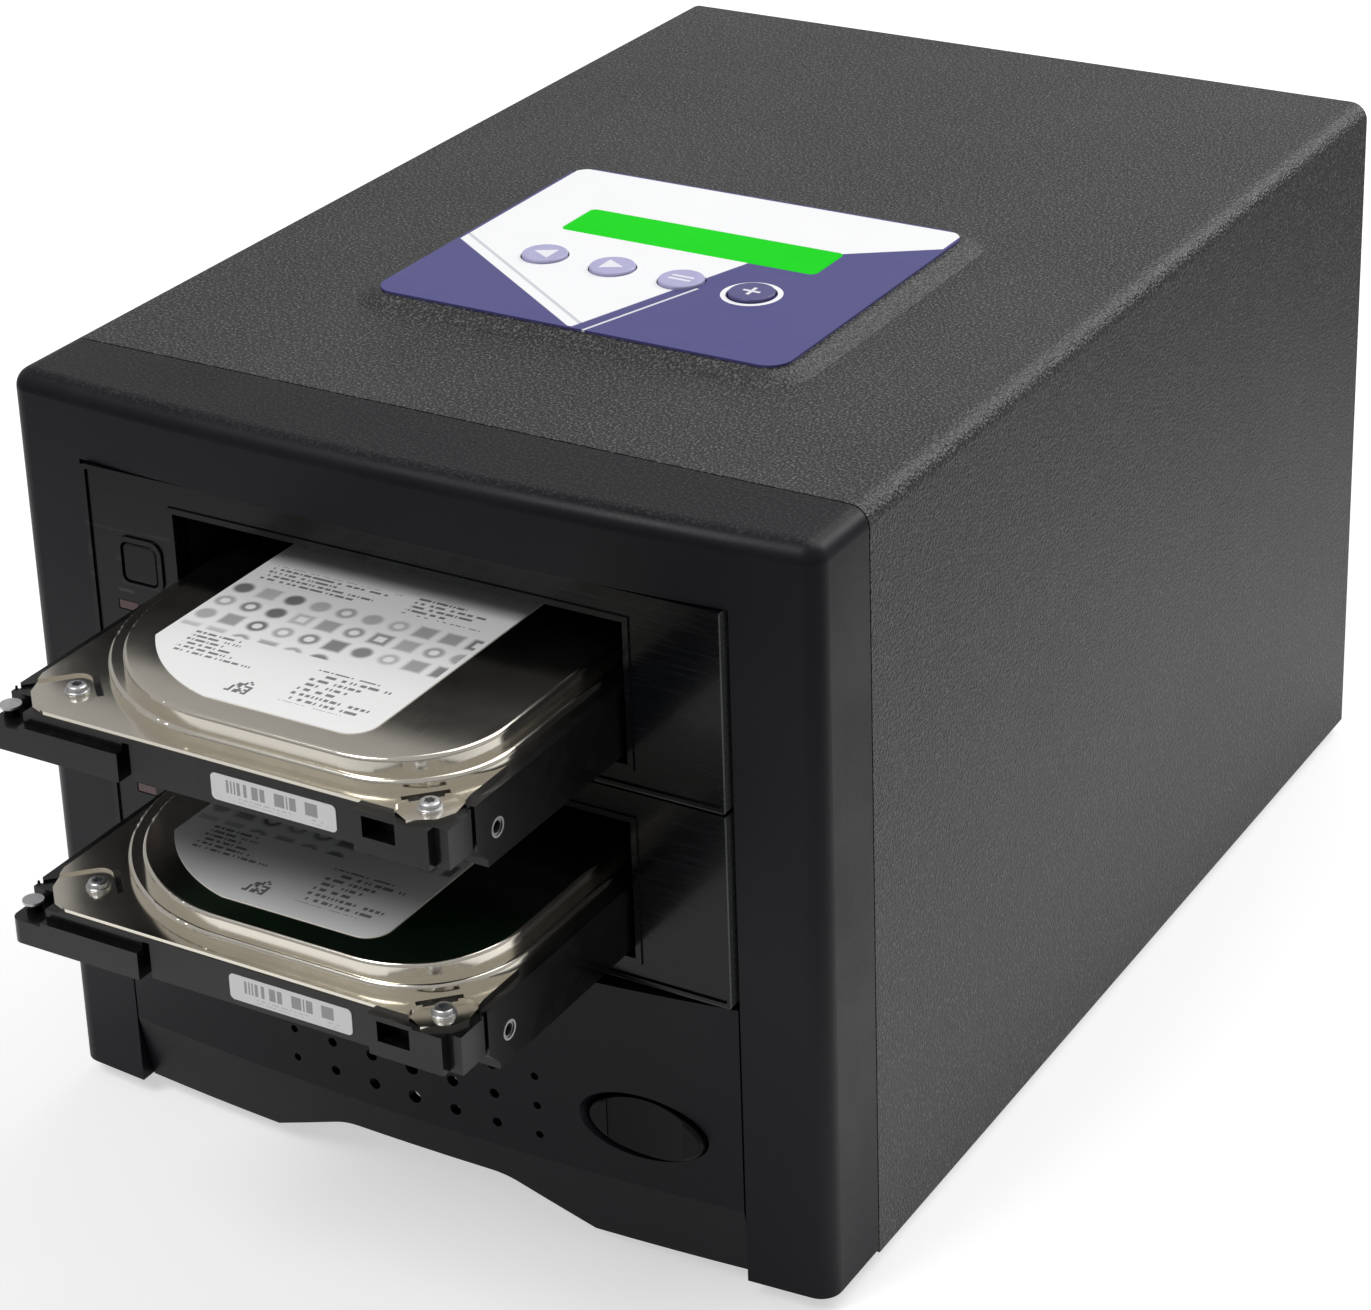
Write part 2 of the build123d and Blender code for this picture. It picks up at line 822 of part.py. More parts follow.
def nose_cuts(left, right, front, low, rim):
    """Steps in the front wall of a drive: ledge, set-back middle, notch, corners, pocket and side grooves."""
    bar_end = left + nose_bar
    middle_end = right - corner_block
    reach = corner_reach
    step = (front - 1, front + nose_setback)
    deep = (front - 1, front + 2 * nose_setback)
    full = (low - 1, rim + 1)
    cuts = [block((left - 1, bar_end), step, (rim - nose_drop, rim + 1))]
    cuts.append(block((bar_end, middle_end), step, full))
    cuts.append(block((bar_end, bar_end + nose_notch), deep, (low - 1, rim - 1)))
    cuts.append(block((left - 1, left + reach), (front - 1, front + reach), (rim - corner_drop, rim + 1)))
    cuts.append(block((middle_end + 2, middle_end + 9), deep, (rim - 2 * nose_drop, rim - 1)))
    cuts.append(block((right - 3, right + 1), (front - 1, front + nose_setback), full))
    groove = (front + side_groove_place, front + side_groove_place + side_groove)
    for side in (left, right):
        cuts.append(block((side - side_groove_depth, side + side_groove_depth), groove, full))
    return cuts


def edges_near(body, y, z):
    """Edges along X that lie on a given line."""
    found = body.edges().filter_by(Axis.X)
    return [edge for edge in found if abs(edge.center().Y - y) < 0.01 and abs(edge.center().Z - z) < 0.01]


def connector_span(base):
    """Spans of the connector across and up the back of a drive."""
    middle = slot_offset + connector_offset
    low = drive_low(base) + 1.2
    return (middle - connector_width / 2, middle + connector_width / 2), (low, low + connector_height)


def lid_field(inset, raised, z):
    """Raised field of the lid: a large round corner over the disks and a small one over the arm."""
    side, front_step, right_step = (bead_width, bead_front, bead_right) if raised else (0, 0, 0)
    left = drive_x() + field_left + side + inset
    right = drive_x() + drive_width - field_right - right_step - inset
    front = drive_front + field_front + front_step + inset
    back = drive_front + drive_length - field_back - inset
    face = Pos((left + right) / 2, (front + back) / 2, z) * Rectangle(right - left, back - front)
    face = fillet(face.vertices().group_by(Axis.Y)[-1], field_back - 2 - inset)
    first = face.vertices().group_by(Axis.Y)[0].sort_by(Axis.X)
    face = fillet(first[0], disk_corner - side - inset)
    last = face.vertices().group_by(Axis.Y)[0].sort_by(Axis.X)
    return fillet(last[-1], arm_corner - inset)


def lid_rim():
    """Outline of the flat rim of the lid with its two cut front corners, seen from the drive's front left."""
    right = drive_width - lid_inset
    back = drive_length - lid_inset
    front = [(lid_inset, 14), (4.4, 7.9), (8.8, 3.2), (12.2, 2.0)]
    side = drive_width
    tab = [(side - 10.8, 2.0), (side - 7.7, 0.4), (side - 2.9, 3.4), (side - 1.4, 6.6)]
    points = front + tab + [(right, 12.5), (right, back), (lid_inset, back)]
    return make_face(Polyline(*points, close=True))


def lid_tabs():
    """Places and turns of the two pressed tabs round the front screws of the lid."""
    front_left, front_right = lid_screw_places()[:2]
    return (front_left, -135), (front_right, -45)


def tab_face(place, turn):
    """Pressed tab of the lid, with round inner corners and open to the corner of the drive."""
    face = Pos((tab_open - tab_reach) / 2, 0) * Rectangle(tab_reach + tab_open, tab_width)
    face = fillet(face.vertices().group_by(Axis.X)[0], tab_radius)
    return Pos(*place) * Rot(0, 0, turn) * face


def make_drive_lid(base):
    """Stamped lid: a flat rim with two pressed tabs, a stepped bead and the raised field over the disks."""
    low = drive_low(base) + rim_height - lid_sheet
    high = drive_low(base) + drive_height
    step = extrude(lid_field(0, False, low), field_step + lid_sheet)
    field = extrude(lid_field(0, True, low), high - low)
    rim = extrude(Pos(drive_x(), drive_front, low) * lid_rim(), lid_sheet)
    pressed = Pos(0, 0, -tab_drop) * rim
    lid = rim
    for place, turn in lid_tabs():
        tab = extrude(Pos(0, 0, low - 1) * tab_face(place, turn), lid_sheet + 2)
        lid = lid - tab + (pressed & tab)
        slit = Pos(-tab_reach - tab_slit / 2, 0, low) * Box(tab_slit, tab_slit_length, 4)
        lid -= Pos(*place) * Rot(0, 0, turn) * slit
    for level in (step, field):
        lid += fillet(level.edges().group_by(Axis.Z)[-1], bead_edge)
    lid -= extrude(lid_field(2 * lid_sheet, True, low - 1), high - 2 * lid_sheet - low + 1)
    for x, y in lid_screw_places():
        lid -= rod_z(lid_screw_shaft + lid_screw_fit, x, y, low - 1, low + 2)
    return lid


def make_drive_lid_screws(base):
    """Round-headed screws of the lid; the front two sit on its pressed tabs."""
    screws = []
    for number, (x, y) in enumerate(lid_screw_places()):
        drop = tab_drop if number < len(lid_tabs()) else 0
        seat = drive_low(base) + rim_height - drop
        head = rod_z(lid_screw_radius, x, y, seat, seat + lid_screw_height)
        head = fillet(head.edges().group_by(Axis.Z)[-1], 0.5)
        socket = Pos(x, y, seat + lid_screw_height - socket_depth) * RegularPolygon(socket_radius, 6)
        shaft = rod_z(lid_screw_shaft, x, y, seat - lid_screw_length + 1.5, seat)
        screws.append(head + shaft - extrude(socket, socket_depth + 1))
    return screws


def lid_screw_places():
    """Corners of the lid, just inside its cut corners, the front two first."""
    left = drive_x()
    right = left + drive_width
    front = drive_front
    back = front + drive_length
    return [(left + 12.2, front + 12), (right - 6.4, front + 6), (left + 8, back - 7), (right - 8, back - 7)]


def drive_board_face(base, extra):
    """Outline of the circuit board under a drive, grown by a margin."""
    left = drive_x() + board_side
    right = drive_x() + drive_width - board_side
    front = drive_front + board_front
    back = drive_front + drive_length - board_back
    middle = Pos((left + right) / 2, (front + back) / 2, drive_low(base))
    return middle * RectangleRounded(right - left + 2 * extra, back - front + 2 * extra, 7.5 + extra)


def make_drive_board(base):
    """Circuit board in the recess under a drive."""
    return extrude(Pos(0, 0, board_recess - board_thickness) * drive_board_face(base, 0), board_thickness)


def make_drive_connector(base):
    """Connector block in the notch with its two blades."""
    back = drive_front + drive_length
    (x_low, x_high), (z_low, z_high) = connector_span(base)
    floor_y = back - connector_notch_depth
    body = block((x_low, x_high), (floor_y, floor_y + connector_back), (z_low, z_high))
    z = (z_low + z_high) / 2
    for x, width in blade_places():
        blade_end = floor_y + connector_back + blade_length
        body += block(
            (x - width / 2, x + width / 2),
            (floor_y + connector_back, blade_end),
            (z - blade_thickness / 2, z + blade_thickness / 2),
        )
    return body


def blade_places():
    """Middle and width of the data blade and the power blade."""
    middle = slot_offset + connector_offset
    return ((middle - 11.5, data_blade), (middle + 6.5, power_blade))


def make_drive_label(base):
    """Paper label on the raised field of the lid, with its corner cut along the disks."""
    side = label_left
    outline = Polyline(
        (side + label_cut + 5, label_front),
        (label_right - 5, label_front),
        (label_right, label_front + 6),
        (label_right, label_back),
        (side, label_back),
        (side, label_front + label_cut),
        (side + label_cut * 0.45, label_front + label_cut * 0.5),
        (side + label_cut * 0.85, label_front + label_cut * 0.18),
        close=True,
    )
    place = Pos(drive_x(), drive_front, drive_low(base) + drive_height)
    return extrude(place * make_face(outline), label_thickness)


def make_drive_end_label(base):
    """Small label on the set-back middle of a drive's front wall."""
    low = drive_low(base) + nose_rise
    x = drive_x() + drive_width * 0.62
    y = drive_front + nose_setback
    return block((x - 12.5, x + 12.5), (y - label_thickness, y), (low + 1.2, low + 6.6))


def make_rack_backplane(base):
    """Board that closes the back of a rack."""
    x = rack_width / 2
    return block((-x, x), (rack_back, rack_back + backplane_thickness), (base, base + rack_height))


def make_rack_socket(base):
    """Socket that the drive plugs into when it is home."""
    notch_floor = drive_front + drive_length + seated_travel() - connector_notch_depth
    front = notch_floor + connector_back + socket_clearance
    (x_low, x_high), (z_low, z_high) = connector_span(base)
    gap = socket_clearance
    body = block((x_low + gap, x_high - gap), (front, rack_back), (z_low + gap, z_high - gap))
    z = (z_low + z_high) / 2
    half_height = blade_thickness / 2 + blade_gap
    blade_end = notch_floor + connector_back + blade_length
    for x, width in blade_places():
        half = width / 2 + blade_gap
        body -= block((x - half, x + half), (front - 1, blade_end + 0.6), (z - half_height, z + half_height))
    return body


def cage_side(side):
    """One upright side of the cage, with a flange on the case floor."""
    inner = side * (rack_width / 2 + part_gap / 2)
    outer = inner + side * cage_sheet
    ends = (seam_y + 4, rack_back)
    wall = block(sorted((inner, outer)), ends, (floor_top, opening_top - 1))
    wall += block(sorted((outer, outer + side * cage_flange)), ends, (floor_top, floor_top + cage_sheet))
    across = sorted((inner - side, outer + side))
    for level in range(bay_count):
        z = rack_base(level) + rack_height / 2
        for y in rack_screw_from_front:
            wall -= rod_x(rack_screw_radius + 0.2, front_y + y, z, *across)
    return wall


def make_rack_screws():
    """Screws through the cage sides into the racks."""
    screws = []
    for level in range(bay_count):
        z = rack_base(level) + rack_height / 2
        for y in rack_screw_from_front:
            for side in (-1, 1):
                face = side * (rack_width / 2 + part_gap / 2 + cage_sheet)
                shaft = sorted((face, face - side * rack_screw_length))
                head = sorted((face, face + side * rack_screw_head_height))
                screw = rod_x(rack_screw_radius, front_y + y, z, *shaft)
                screw += rod_x(rack_screw_head, front_y + y, z, *head)
                screws.append(screw)
    return screws


def make_overlay():
    """Printed overlay with its display window and key holes."""
    z = top_z + plateau_rise
    place = Pos(panel_x, front_y + panel_from_front, z)
    plate = extrude(place * RectangleRounded(overlay_width, overlay_depth, overlay_radius), overlay_thickness)
    window = RectangleRounded(display_width + 2 * part_gap / 2, display_depth + 2 * part_gap / 2, 1.6)
    plate -= extrude(display_place() * Pos(0, 0, z - 1) * window, 3)
    for x, y in key_places():
        plate -= rod_z(key_radius + key_clearance, x, y, z - 1, z + 2)
    return plate


def make_display_glass():
    """Clear front of the display."""
    top = top_z + plateau_rise + overlay_thickness
    glass = RectangleRounded(display_width, display_depth, 1.4)
    z = top_z + plateau_rise - sheet + 0.2
    return extrude(display_place() * Pos(0, 0, z) * glass, top - z)


def make_display_module():
    """Display module: board with its metal frame, screwed to the studs of the cover."""
    board_top = top_z - control_drop
    frame_top = top_z + plateau_rise - sheet
    height = frame_top - board_top
    board = Box(module_board_width, module_board_depth, control_board)
    board = Pos(0, 0, board_top - control_board / 2) * board
    frame = Pos(0, 0, board_top + height / 2) * Box(module_width, module_depth, height)
    return display_place() * board + display_place() * frame


def make_key(x, y):
    """Round key with a flange under the sheet and the stem that works its switch."""
    sheet_low = top_z + plateau_rise - sheet
    high = top_z + plateau_rise + overlay_thickness + key_stand
    flange_top = sheet_low - press_gap
    flange_low = flange_top - key_flange_height
    cap = rod_z(key_radius, x, y, flange_low, high)
    cap = fillet(cap.edges().group_by(Axis.Z)[-1], 0.35)
    cap += rod_z(key_radius + key_flange, x, y, flange_low, flange_top)
    switch_top = top_z - control_drop + key_switch_height
    return cap + rod_z(key_stem_radius, x, y, switch_top + key_travel + press_gap, flange_low)


def make_key_board():
    """Board under the keys, on the studs of the cover."""
    z = top_z - control_drop - control_board / 2
    length = key_pitch * (key_count - 1) + 26
    return Pos(key_middle, front_y + key_from_front - 3, z) * Box(length, 12, control_board)


def make_key_switches():
    """Switches on the key board, one under each key."""
    z = top_z - control_drop + key_switch_height / 2
    return [Pos(x, y, z) * Box(key_switch_size, key_switch_size, key_switch_height) for x, y in key_places()]


def fan_screw_reach(size):
    """Distance of a fan's corner holes from its middle, along X and Z."""
    return size * 0.4475


def fan_frame(x, z, size, depth, bore, front):
    """Square fan frame with its duct, corner holes, hub seat and struts."""
    middle = front + depth / 2
    face = Pos(x, z) * RectangleRounded(size, size, size * 0.05)
    body = upright(face - Pos(x, z) * Circle(bore), front, front + depth)
    hub = bore * 0.42
    strut = depth * 0.12
    plate = Pos(x, z) * Circle(hub)
    for turn in (20, 110):
        plate += Pos(x, z) * Rot(0, 0, turn) * Rectangle(2 * bore + 1, size * 0.045)
    body += upright(plate & Pos(x, z) * Circle(bore + 0.5), front, front + strut)
    body += rod_y(shaft_radius * 2, x, z, front + strut, middle)
    body -= rod_y(shaft_radius + shaft_clearance, x, z, front + strut / 2, middle + 1)
    reach = fan_screw_reach(size)
    for across in (-reach, reach):
        for up in (-reach, reach):
            body -= rod_y(size * 0.024, x + across, z + up, front - 1, front + depth + 1)
    return body


def fan_rotor(x, z, size, depth, bore, front):
    """Rotor: cup, shaft and swept blades."""
    hub = bore * 0.42
    strut = depth * 0.12
    low = front + strut + rotor_clearance
    high = front + depth - rotor_clearance
    cup = rod_y(hub, x, z, low, high)
    cup -= rod_y(hub - 1.2, x, z, low - 1, high - 1.4)
    cup += rod_y(shaft_radius, x, z, front + strut / 2 + 0.3, high - 1)
    reach = bore - rotor_clearance
    for i in range(fan_blades):
        turn = 360 / fan_blades * i
        span = reach - hub + 1.4
        blade = Pos(0, 0, hub - 0.8 + span / 2) * Rot(0, 0, 32) * Box(bore * 0.62, 1.2, span)
        cup += Pos(x, (low + high) / 2, z) * Rot(0, turn, 0) * blade
    limit = rod_y(reach, x, z, low, high)
    return cup & limit


def window_in_back(place, width, height):
    """Opening through the rear wall of the power supply."""
    x, z = place
    across = (x - width / 2, x + width / 2)
    return block(across, (supply_back - 3, supply_back + 1), (z - height / 2, z + height / 2))


def make_supply_case():
    """Power supply case, open where its fan, inlet and switch stand in its rear wall."""
    left, right = supply_span()
    front = supply_back - supply_depth
    low, high = floor_top, floor_top + supply_height
    case = block((left, right), (front, supply_back), (low, high))
    wall = supply_sheet
    case -= block((left + wall, right - wall), (front + wall, supply_back - wall), (low + wall, high - wall))
    x, z = supply_fan_place()
    case -= ring_slots(x, z, 3.4, supply_back - 3, supply_back + 1, 3, 3.4, 1.2)
    case -= window_in_back(inlet_place(), inlet_width, inlet_height)
    return case - window_in_back(rocker_place(), rocker_frame_width + 0.2, rocker_frame_height + 0.2)


def make_inlet():
    """Mains inlet with its recess and three pins."""
    x, z = inlet_place()
    half_w = inlet_width / 2 - 0.1
    half_h = inlet_height / 2 - 0.1
    front = supply_back - inlet_depth
    body = block((x - half_w, x + half_w), (front, supply_back + frame_stand), (z - half_h, z + half_h))
    body -= upright(Pos(x, z) * RectangleRounded(22.4, 15.0, 2.4), front + 2, supply_back + 2)
    for dx, dz in ((-7, -1.6), (0, 2.4), (7, -1.6)):
        body += block((x + dx - 1, x + dx + 1), (front + 1, supply_back - 3), (z + dz - 2, z + dz + 2))
    return body


def make_rocker_frame():
    """Frame of the mains switch with the bearings of its rocker."""
    x, z = rocker_place()
    half_w = rocker_frame_width / 2
    half_h = rocker_frame_height / 2
    front = supply_back - rocker_frame_depth
    body = block((x - half_w, x + half_w), (front, supply_back + frame_stand), (z - half_h, z + half_h))
    wall = rocker_frame_wall
    recess = (supply_back - rocker_recess, supply_back + 2)
    body -= block((x - half_w + wall, x + half_w - wall), recess, (z - half_h + wall, z + half_h - wall))
    reach = half_h - 0.4
    bearing = rocker_pin_radius + shaft_clearance
    return body - rod_z(bearing, x, supply_back - rocker_pivot_depth, z - reach, z + reach)


def make_rocker():
    """Rocker of the mains switch on its two pins, tipped to its off side."""
    x, z = rocker_place()
    half_h = rocker_frame_height / 2 - rocker_frame_wall - rocker_gap
    half_w = rocker_frame_width / 2 - rocker_frame_wall
    wing = half_w - 1.2
    outline = [(-wing, 4.0), (0, 2.8), (wing, 4.0), (wing - 1.4, -2.4), (1.4 - wing, -2.4)]
    body = extrude(Pos(0, 0, -half_h) * make_face(Polyline(*outline, close=True)), 2 * half_h)
    pin = rocker_frame_height / 2 - 0.5
    body += rod_z(rocker_pin_radius, 0, 0, -pin, pin)
    return Pos(x, supply_back - rocker_pivot_depth, z) * Rot(0, 0, -rocker_tilt) * body


def make_rear_screws():
    """Screws in the rear panel: four for the fan, four for the lip of the cover."""
    places = [(x, z, rear_panel_y, 6) for x, z in fan_screw_places()]
    places += [(x, z, rear_y, 4) for x, z in cover_screw_places()]
    screws = []
    for x, z, seat, length in places:
        screw = rod_y(fastener_radius, x, z, seat - sheet - length, seat)
        screw += rod_y(fastener_head, x, z, seat, seat + fastener_head_height)
        screws.append(screw)
    return screws


def controller_span():
    """Spans of the controller board, between the case's left side and the power supply."""
    left = -case_width / 2 + sheet + board_gap
    right = supply_span()[0] - board_gap
    back = supply_back - board_gap
    return (left, right), (back - controller_depth, back)


def standoff_places():
    """Places of the four standoffs of the controller board."""
    across, along = controller_span()
    reach = standoff_radius + 1.5
    sides = (across[0] + reach, across[1] - reach)
    ends = (along[0] + reach, along[1] - reach)
    return [(x, y) for x in sides for y in ends]


def controller_point(share_x, share_y):
    """Point on the controller board, as shares of its width and depth."""
    (left, right), (front, back) = controller_span()
    return left + share_x * (right - left), front + share_y * (back - front)


def make_controller_board():
    """Controller board with its plugs and chips."""
    across, along = controller_span()
    low = floor_top + controller_level
    top = low + control_board
    board = block(across, along, (low, top))
    plugs = ((0.16, 0.08, 13, 8, 8), (0.4, 0.08, 13, 8, 8), (0.74, 0.1, 22, 9, 10))
    chips = ((0.5, 0.6, 27, 27, 2), (0.2, 0.48, 14, 9, 1.2), (0.2, 0.62, 14, 9, 1.2))
    for share_x, share_y, width, depth, height in plugs + chips:
        x, y = controller_point(share_x, share_y)
        board += Pos(x, y, top + height / 2) * Box(width, depth, height)
    return board


def make_heat_sink():
    """Finned heat sink on the controller chip."""
    x, y = controller_point(0.5, 0.6)
    z = floor_top + controller_level + control_board + 2
    sink = Pos(x, y, z + 1) * Box(27, 27, 2)
    for i in range(7):
        sink += Pos(x - 12 + 4 * i, y, z + 6) * Box(1.2, 27, 8)
    return sink


def make_standoffs():
    """Standoffs under the controller board."""
    high = floor_top + controller_level
    return [rod_z(standoff_radius, x, y, floor_top, high) for x, y in standoff_places()]


def write(name, shape):
    """Write one node as one file."""
    solids = shape if isinstance(shape, list) else [shape]
    node = Compound(label=name, children=[solid for piece in solids for solid in piece.solids()])
    export_step(node, f"parts/{name}.step")


os.makedirs("parts", exist_ok=True)
write("top_cover", make_top_cover())
write("chassis_base", make_chassis_base())
write("rear_panel", make_rear_panel())
write("front_bezel", make_front_bezel())
write("lower_panel", make_lower_panel())
write("power_button", make_power_button())
write("power_switch", make_power_switch())
write("rubber_feet", make_feet())
write("rear_screws", make_rear_screws())
write("drive_cage_left", cage_side(-1))
write("drive_cage_right", cage_side(1))
write("rack_screws", make_rack_screws())
rack_pieces = {
    "rack_fascia": make_rack_fascia,
    "rack_housing": make_rack_housing,
    "rack_button": make_rack_button,
    "rack_lamp": make_rack_lamp,
    "rack_switch_board": make_rack_switch_board,
    "rack_backplane": make_rack_backplane,
    "rack_socket": make_rack_socket,
    "drive_casting": make_drive_casting,
    "drive_lid": make_drive_lid,
    "drive_lid_screws": make_drive_lid_screws,
    "drive_board": make_drive_board,
    "drive_connector": make_drive_connector,
    "drive_label": make_drive_label,
    "drive_end_label": make_drive_end_label,
}
for name, make in rack_pieces.items():
    piece = make(rack_base(0))
    solids = piece if isinstance(piece, list) else [piece]
    for level in range(bay_count):
        write(f"{name}_{rack_names[level]}", [Pos(0, 0, level * bay_pitch) * solid for solid in solids])
write("control_overlay", make_overlay())
write("display_glass", make_display_glass())
write("display_module", make_display_module())
for name, place in zip(("key_back", "key_next", "key_enter", "key_escape"), key_places()):
    write(name, make_key(*place))
write("key_board", make_key_board())
write("key_switches", make_key_switches())
write("controller_board", make_controller_board())
write("controller_heat_sink", make_heat_sink())
write("board_standoffs", make_standoffs())
write("supply_case", make_supply_case())
write("power_inlet", make_inlet())
write("rocker_frame", make_rocker_frame())
write("mains_rocker", make_rocker())
supply_fan = (*supply_fan_place(), supply_fan_size, supply_fan_depth, supply_fan_bore_radius)
supply_fan_front = supply_back - supply_sheet - supply_fan_depth
write("supply_fan_frame", fan_frame(*supply_fan, supply_fan_front))
write("supply_fan_rotor", fan_rotor(*supply_fan, supply_fan_front))
rear_fan = (fan_x, fan_level, fan_size, fan_depth, fan_bore_radius)
write("rear_fan_frame", fan_frame(*rear_fan, supply_back - fan_depth))
write("rear_fan_rotor", fan_rotor(*rear_fan, supply_back - fan_depth))
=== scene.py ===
import json
import math

import bmesh
import bpy
from mathutils import Matrix, Vector


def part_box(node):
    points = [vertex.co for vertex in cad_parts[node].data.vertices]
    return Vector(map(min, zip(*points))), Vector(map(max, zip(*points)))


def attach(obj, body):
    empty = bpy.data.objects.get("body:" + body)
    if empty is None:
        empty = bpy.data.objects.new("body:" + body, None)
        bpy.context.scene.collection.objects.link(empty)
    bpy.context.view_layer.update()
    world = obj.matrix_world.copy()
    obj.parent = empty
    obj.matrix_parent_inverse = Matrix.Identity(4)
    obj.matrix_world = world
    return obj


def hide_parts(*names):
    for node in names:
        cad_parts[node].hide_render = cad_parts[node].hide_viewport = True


MM = 0.001

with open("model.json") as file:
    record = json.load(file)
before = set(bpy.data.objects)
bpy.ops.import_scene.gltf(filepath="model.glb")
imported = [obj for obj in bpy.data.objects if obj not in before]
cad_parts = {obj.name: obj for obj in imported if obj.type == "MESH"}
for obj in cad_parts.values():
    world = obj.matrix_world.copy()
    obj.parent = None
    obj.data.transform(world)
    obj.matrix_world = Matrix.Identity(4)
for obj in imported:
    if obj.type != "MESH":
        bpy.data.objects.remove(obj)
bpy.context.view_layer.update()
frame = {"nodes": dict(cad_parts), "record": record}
cover_low, cover_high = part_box("top_cover")
CASE_FRONT = cover_high[1] - 267 * MM
RACK_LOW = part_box("rack_fascia_lower")[0][2]
RACK_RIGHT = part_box("rack_fascia_lower")[1][0]
BAY_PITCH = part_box("rack_fascia_upper")[0][2] - RACK_LOW

# Drives: places in millimetres from the left front corner of the casting's underside,
# or from its right side and its back where they are negative
SIDE_HOLE_PLACES = (16.9, 76.9, 118.5)
SIDE_HOLE_RISE = 6.35
POST_PLACE = (2.3, 4.5, 12.45)
LID_SCREW_PLACES = ((12.2, 12.0, 14.1), (-6.4, 6.0, 14.1), (8.0, -7.0, 14.6), (-8.0, -7.0, 14.6))

# Threads and bare faces, in millimetres
THREAD_OUTER, THREAD_INNER, THREAD_WIDTH = 1.58, 1.2, 0.36
THREAD_PITCH, FIRST_THREAD, THREAD_TURNS = 0.6, 0.4, 5
BARE_OUTER, BARE_INNER, BARE_THICKNESS, BARE_SUNK = 2.0, 1.55, 0.06, 0.02
POST_CAP_OUTER, POST_CAP_INNER, POST_CAP_HEIGHT = 2.1, 0.05, 0.5

# Lid screw: radius and height pairs in millimetres from the tip of the shank, over the flange
# and the dome, into the socket
LID_SCREW_PROFILE = (
    (1.35, -3.4), (1.35, -0.02), (2.38, 0.0), (2.4, 0.12), (2.4, 0.42), (2.3, 0.52), (2.04, 0.56),
    (2.02, 1.0), (1.9, 1.32), (1.66, 1.5), (1.3, 1.57), (1.05, 1.57), (0.95, -0.1),
)
SOCKET_RINGS = (11, 12)
LOBE_DEPTH = 0.78
LARGEST_SCREW_TURN = 6.28

# Top label, in millimetres from its left front corner: left, right, near and far side of each
# block, and for type the pitch of its rows and the width of a mark
LABEL_WIDTH, LABEL_LENGTH, LABEL_CORNER = 58.0, 88.0, 5.0
DISK_MIDDLE, DISK_ARC_RADIUS = (31.8, 38.0), 39.0
TYPE_BLOCKS = (
    ((6, 24, 12, 21), 1.5, 0.38),
    ((36, 54, 5, 18), 1.9, 0.45),
    ((3, 34, 43, 50), 1.5, 0.42),
    ((36, 56, 44, 51), 1.6, 0.42),
    ((3, 50, 60, 78), 2.0, 0.5),
)
SIGN_BLOCKS = ((0, 36, 21.6, 42), (36, 57, 24, 42))
SIGN_SIZE = 6.0
CODE_BLOCK = (24.6, 29.4, 3.6, 8.4)
CODE_CELL = 0.6

# End label, in millimetres from its left lower corner
BAR_GROUPS = ((3.4, 11.9), (14.0, 19.0), (20.7, 23.5))
BAR_WIDTH, BARS_LOW, BARS_HIGH = 0.36, 2.0, 4.6
END_LABEL_EXTRA, END_LABEL_CORNER = 2.4, 1.0

# Rack fascia, in millimetres: level places from the middle, rises from the lower edge of a bay
DOT_X, DOT_RISE, DOT_RADIUS_SQUARED = -63.2, 8.3, 0.3
LINE_LEFT, LINE_RIGHT, LINE_LOW, LINE_HIGH = -66.8, -62.8, 14.6, 15.3
# Widths in millimetres of the painted highlights along the right and lower edges of a fascia
EDGE_HIGHLIGHT_SIDE, EDGE_HIGHLIGHT_LOW = 0.35, 0.3

# Camera at the photograph's viewing angle: angles in degrees, lengths in the photograph's pixels
PHOTO_WIDTH = 1371
SENSOR_WIDTH = 36
FOCAL_LENGTH = 3708.6
SHIFT_X, SHIFT_Y = -41.39, -286.62
YAW, PITCH, ROLL = 30.627, 22.927, -1.689
CAMERA_FROM_CASE_FRONT = (0.378589, -0.513359, 0.448758)

# Lamps: place, target, width and height in metres, power in watts
LAMPS = {
    "overhead": ((0.4, 0.95, 1.8), (0, 0.05, 0.1), 1.8, 1.4, 21),
    "right_side": ((1.7, 0.5, 0.3), (0, 0.05, 0.03), 1.4, 0.4, 0.4),
    "back_right": ((1.0, 1.9, 1.15), (0, 0.05, 0.1), 0.8, 0.7, 17),
    "front_high": ((-0.5, -1.2, 1.8), (0, 0, 0.1), 0.9, 0.9, 19),
}

# Strength of the world for each kind of ray, the later ones over the earlier ones
SKY = (
    (None, 0.22),
    ("Is Glossy Ray", 0.44),
    ("Is Transmission Ray", 0.44),
    ("Is Camera Ray", 1.0),
)

# Floor, in metres: its reflections darken far from the object, and close beside the case a painted
# contact shadow darkens them
FLOOR_HALF = 8.0
FADE_MIDDLE_X = -0.08
FAR_FADE, FAR_SHARE = (0.20, 0.62), 0.95
CONTACT_SHADOW_FADE, CONTACT_SHADOW_SHARE = (0.028, 0.004), 0.35


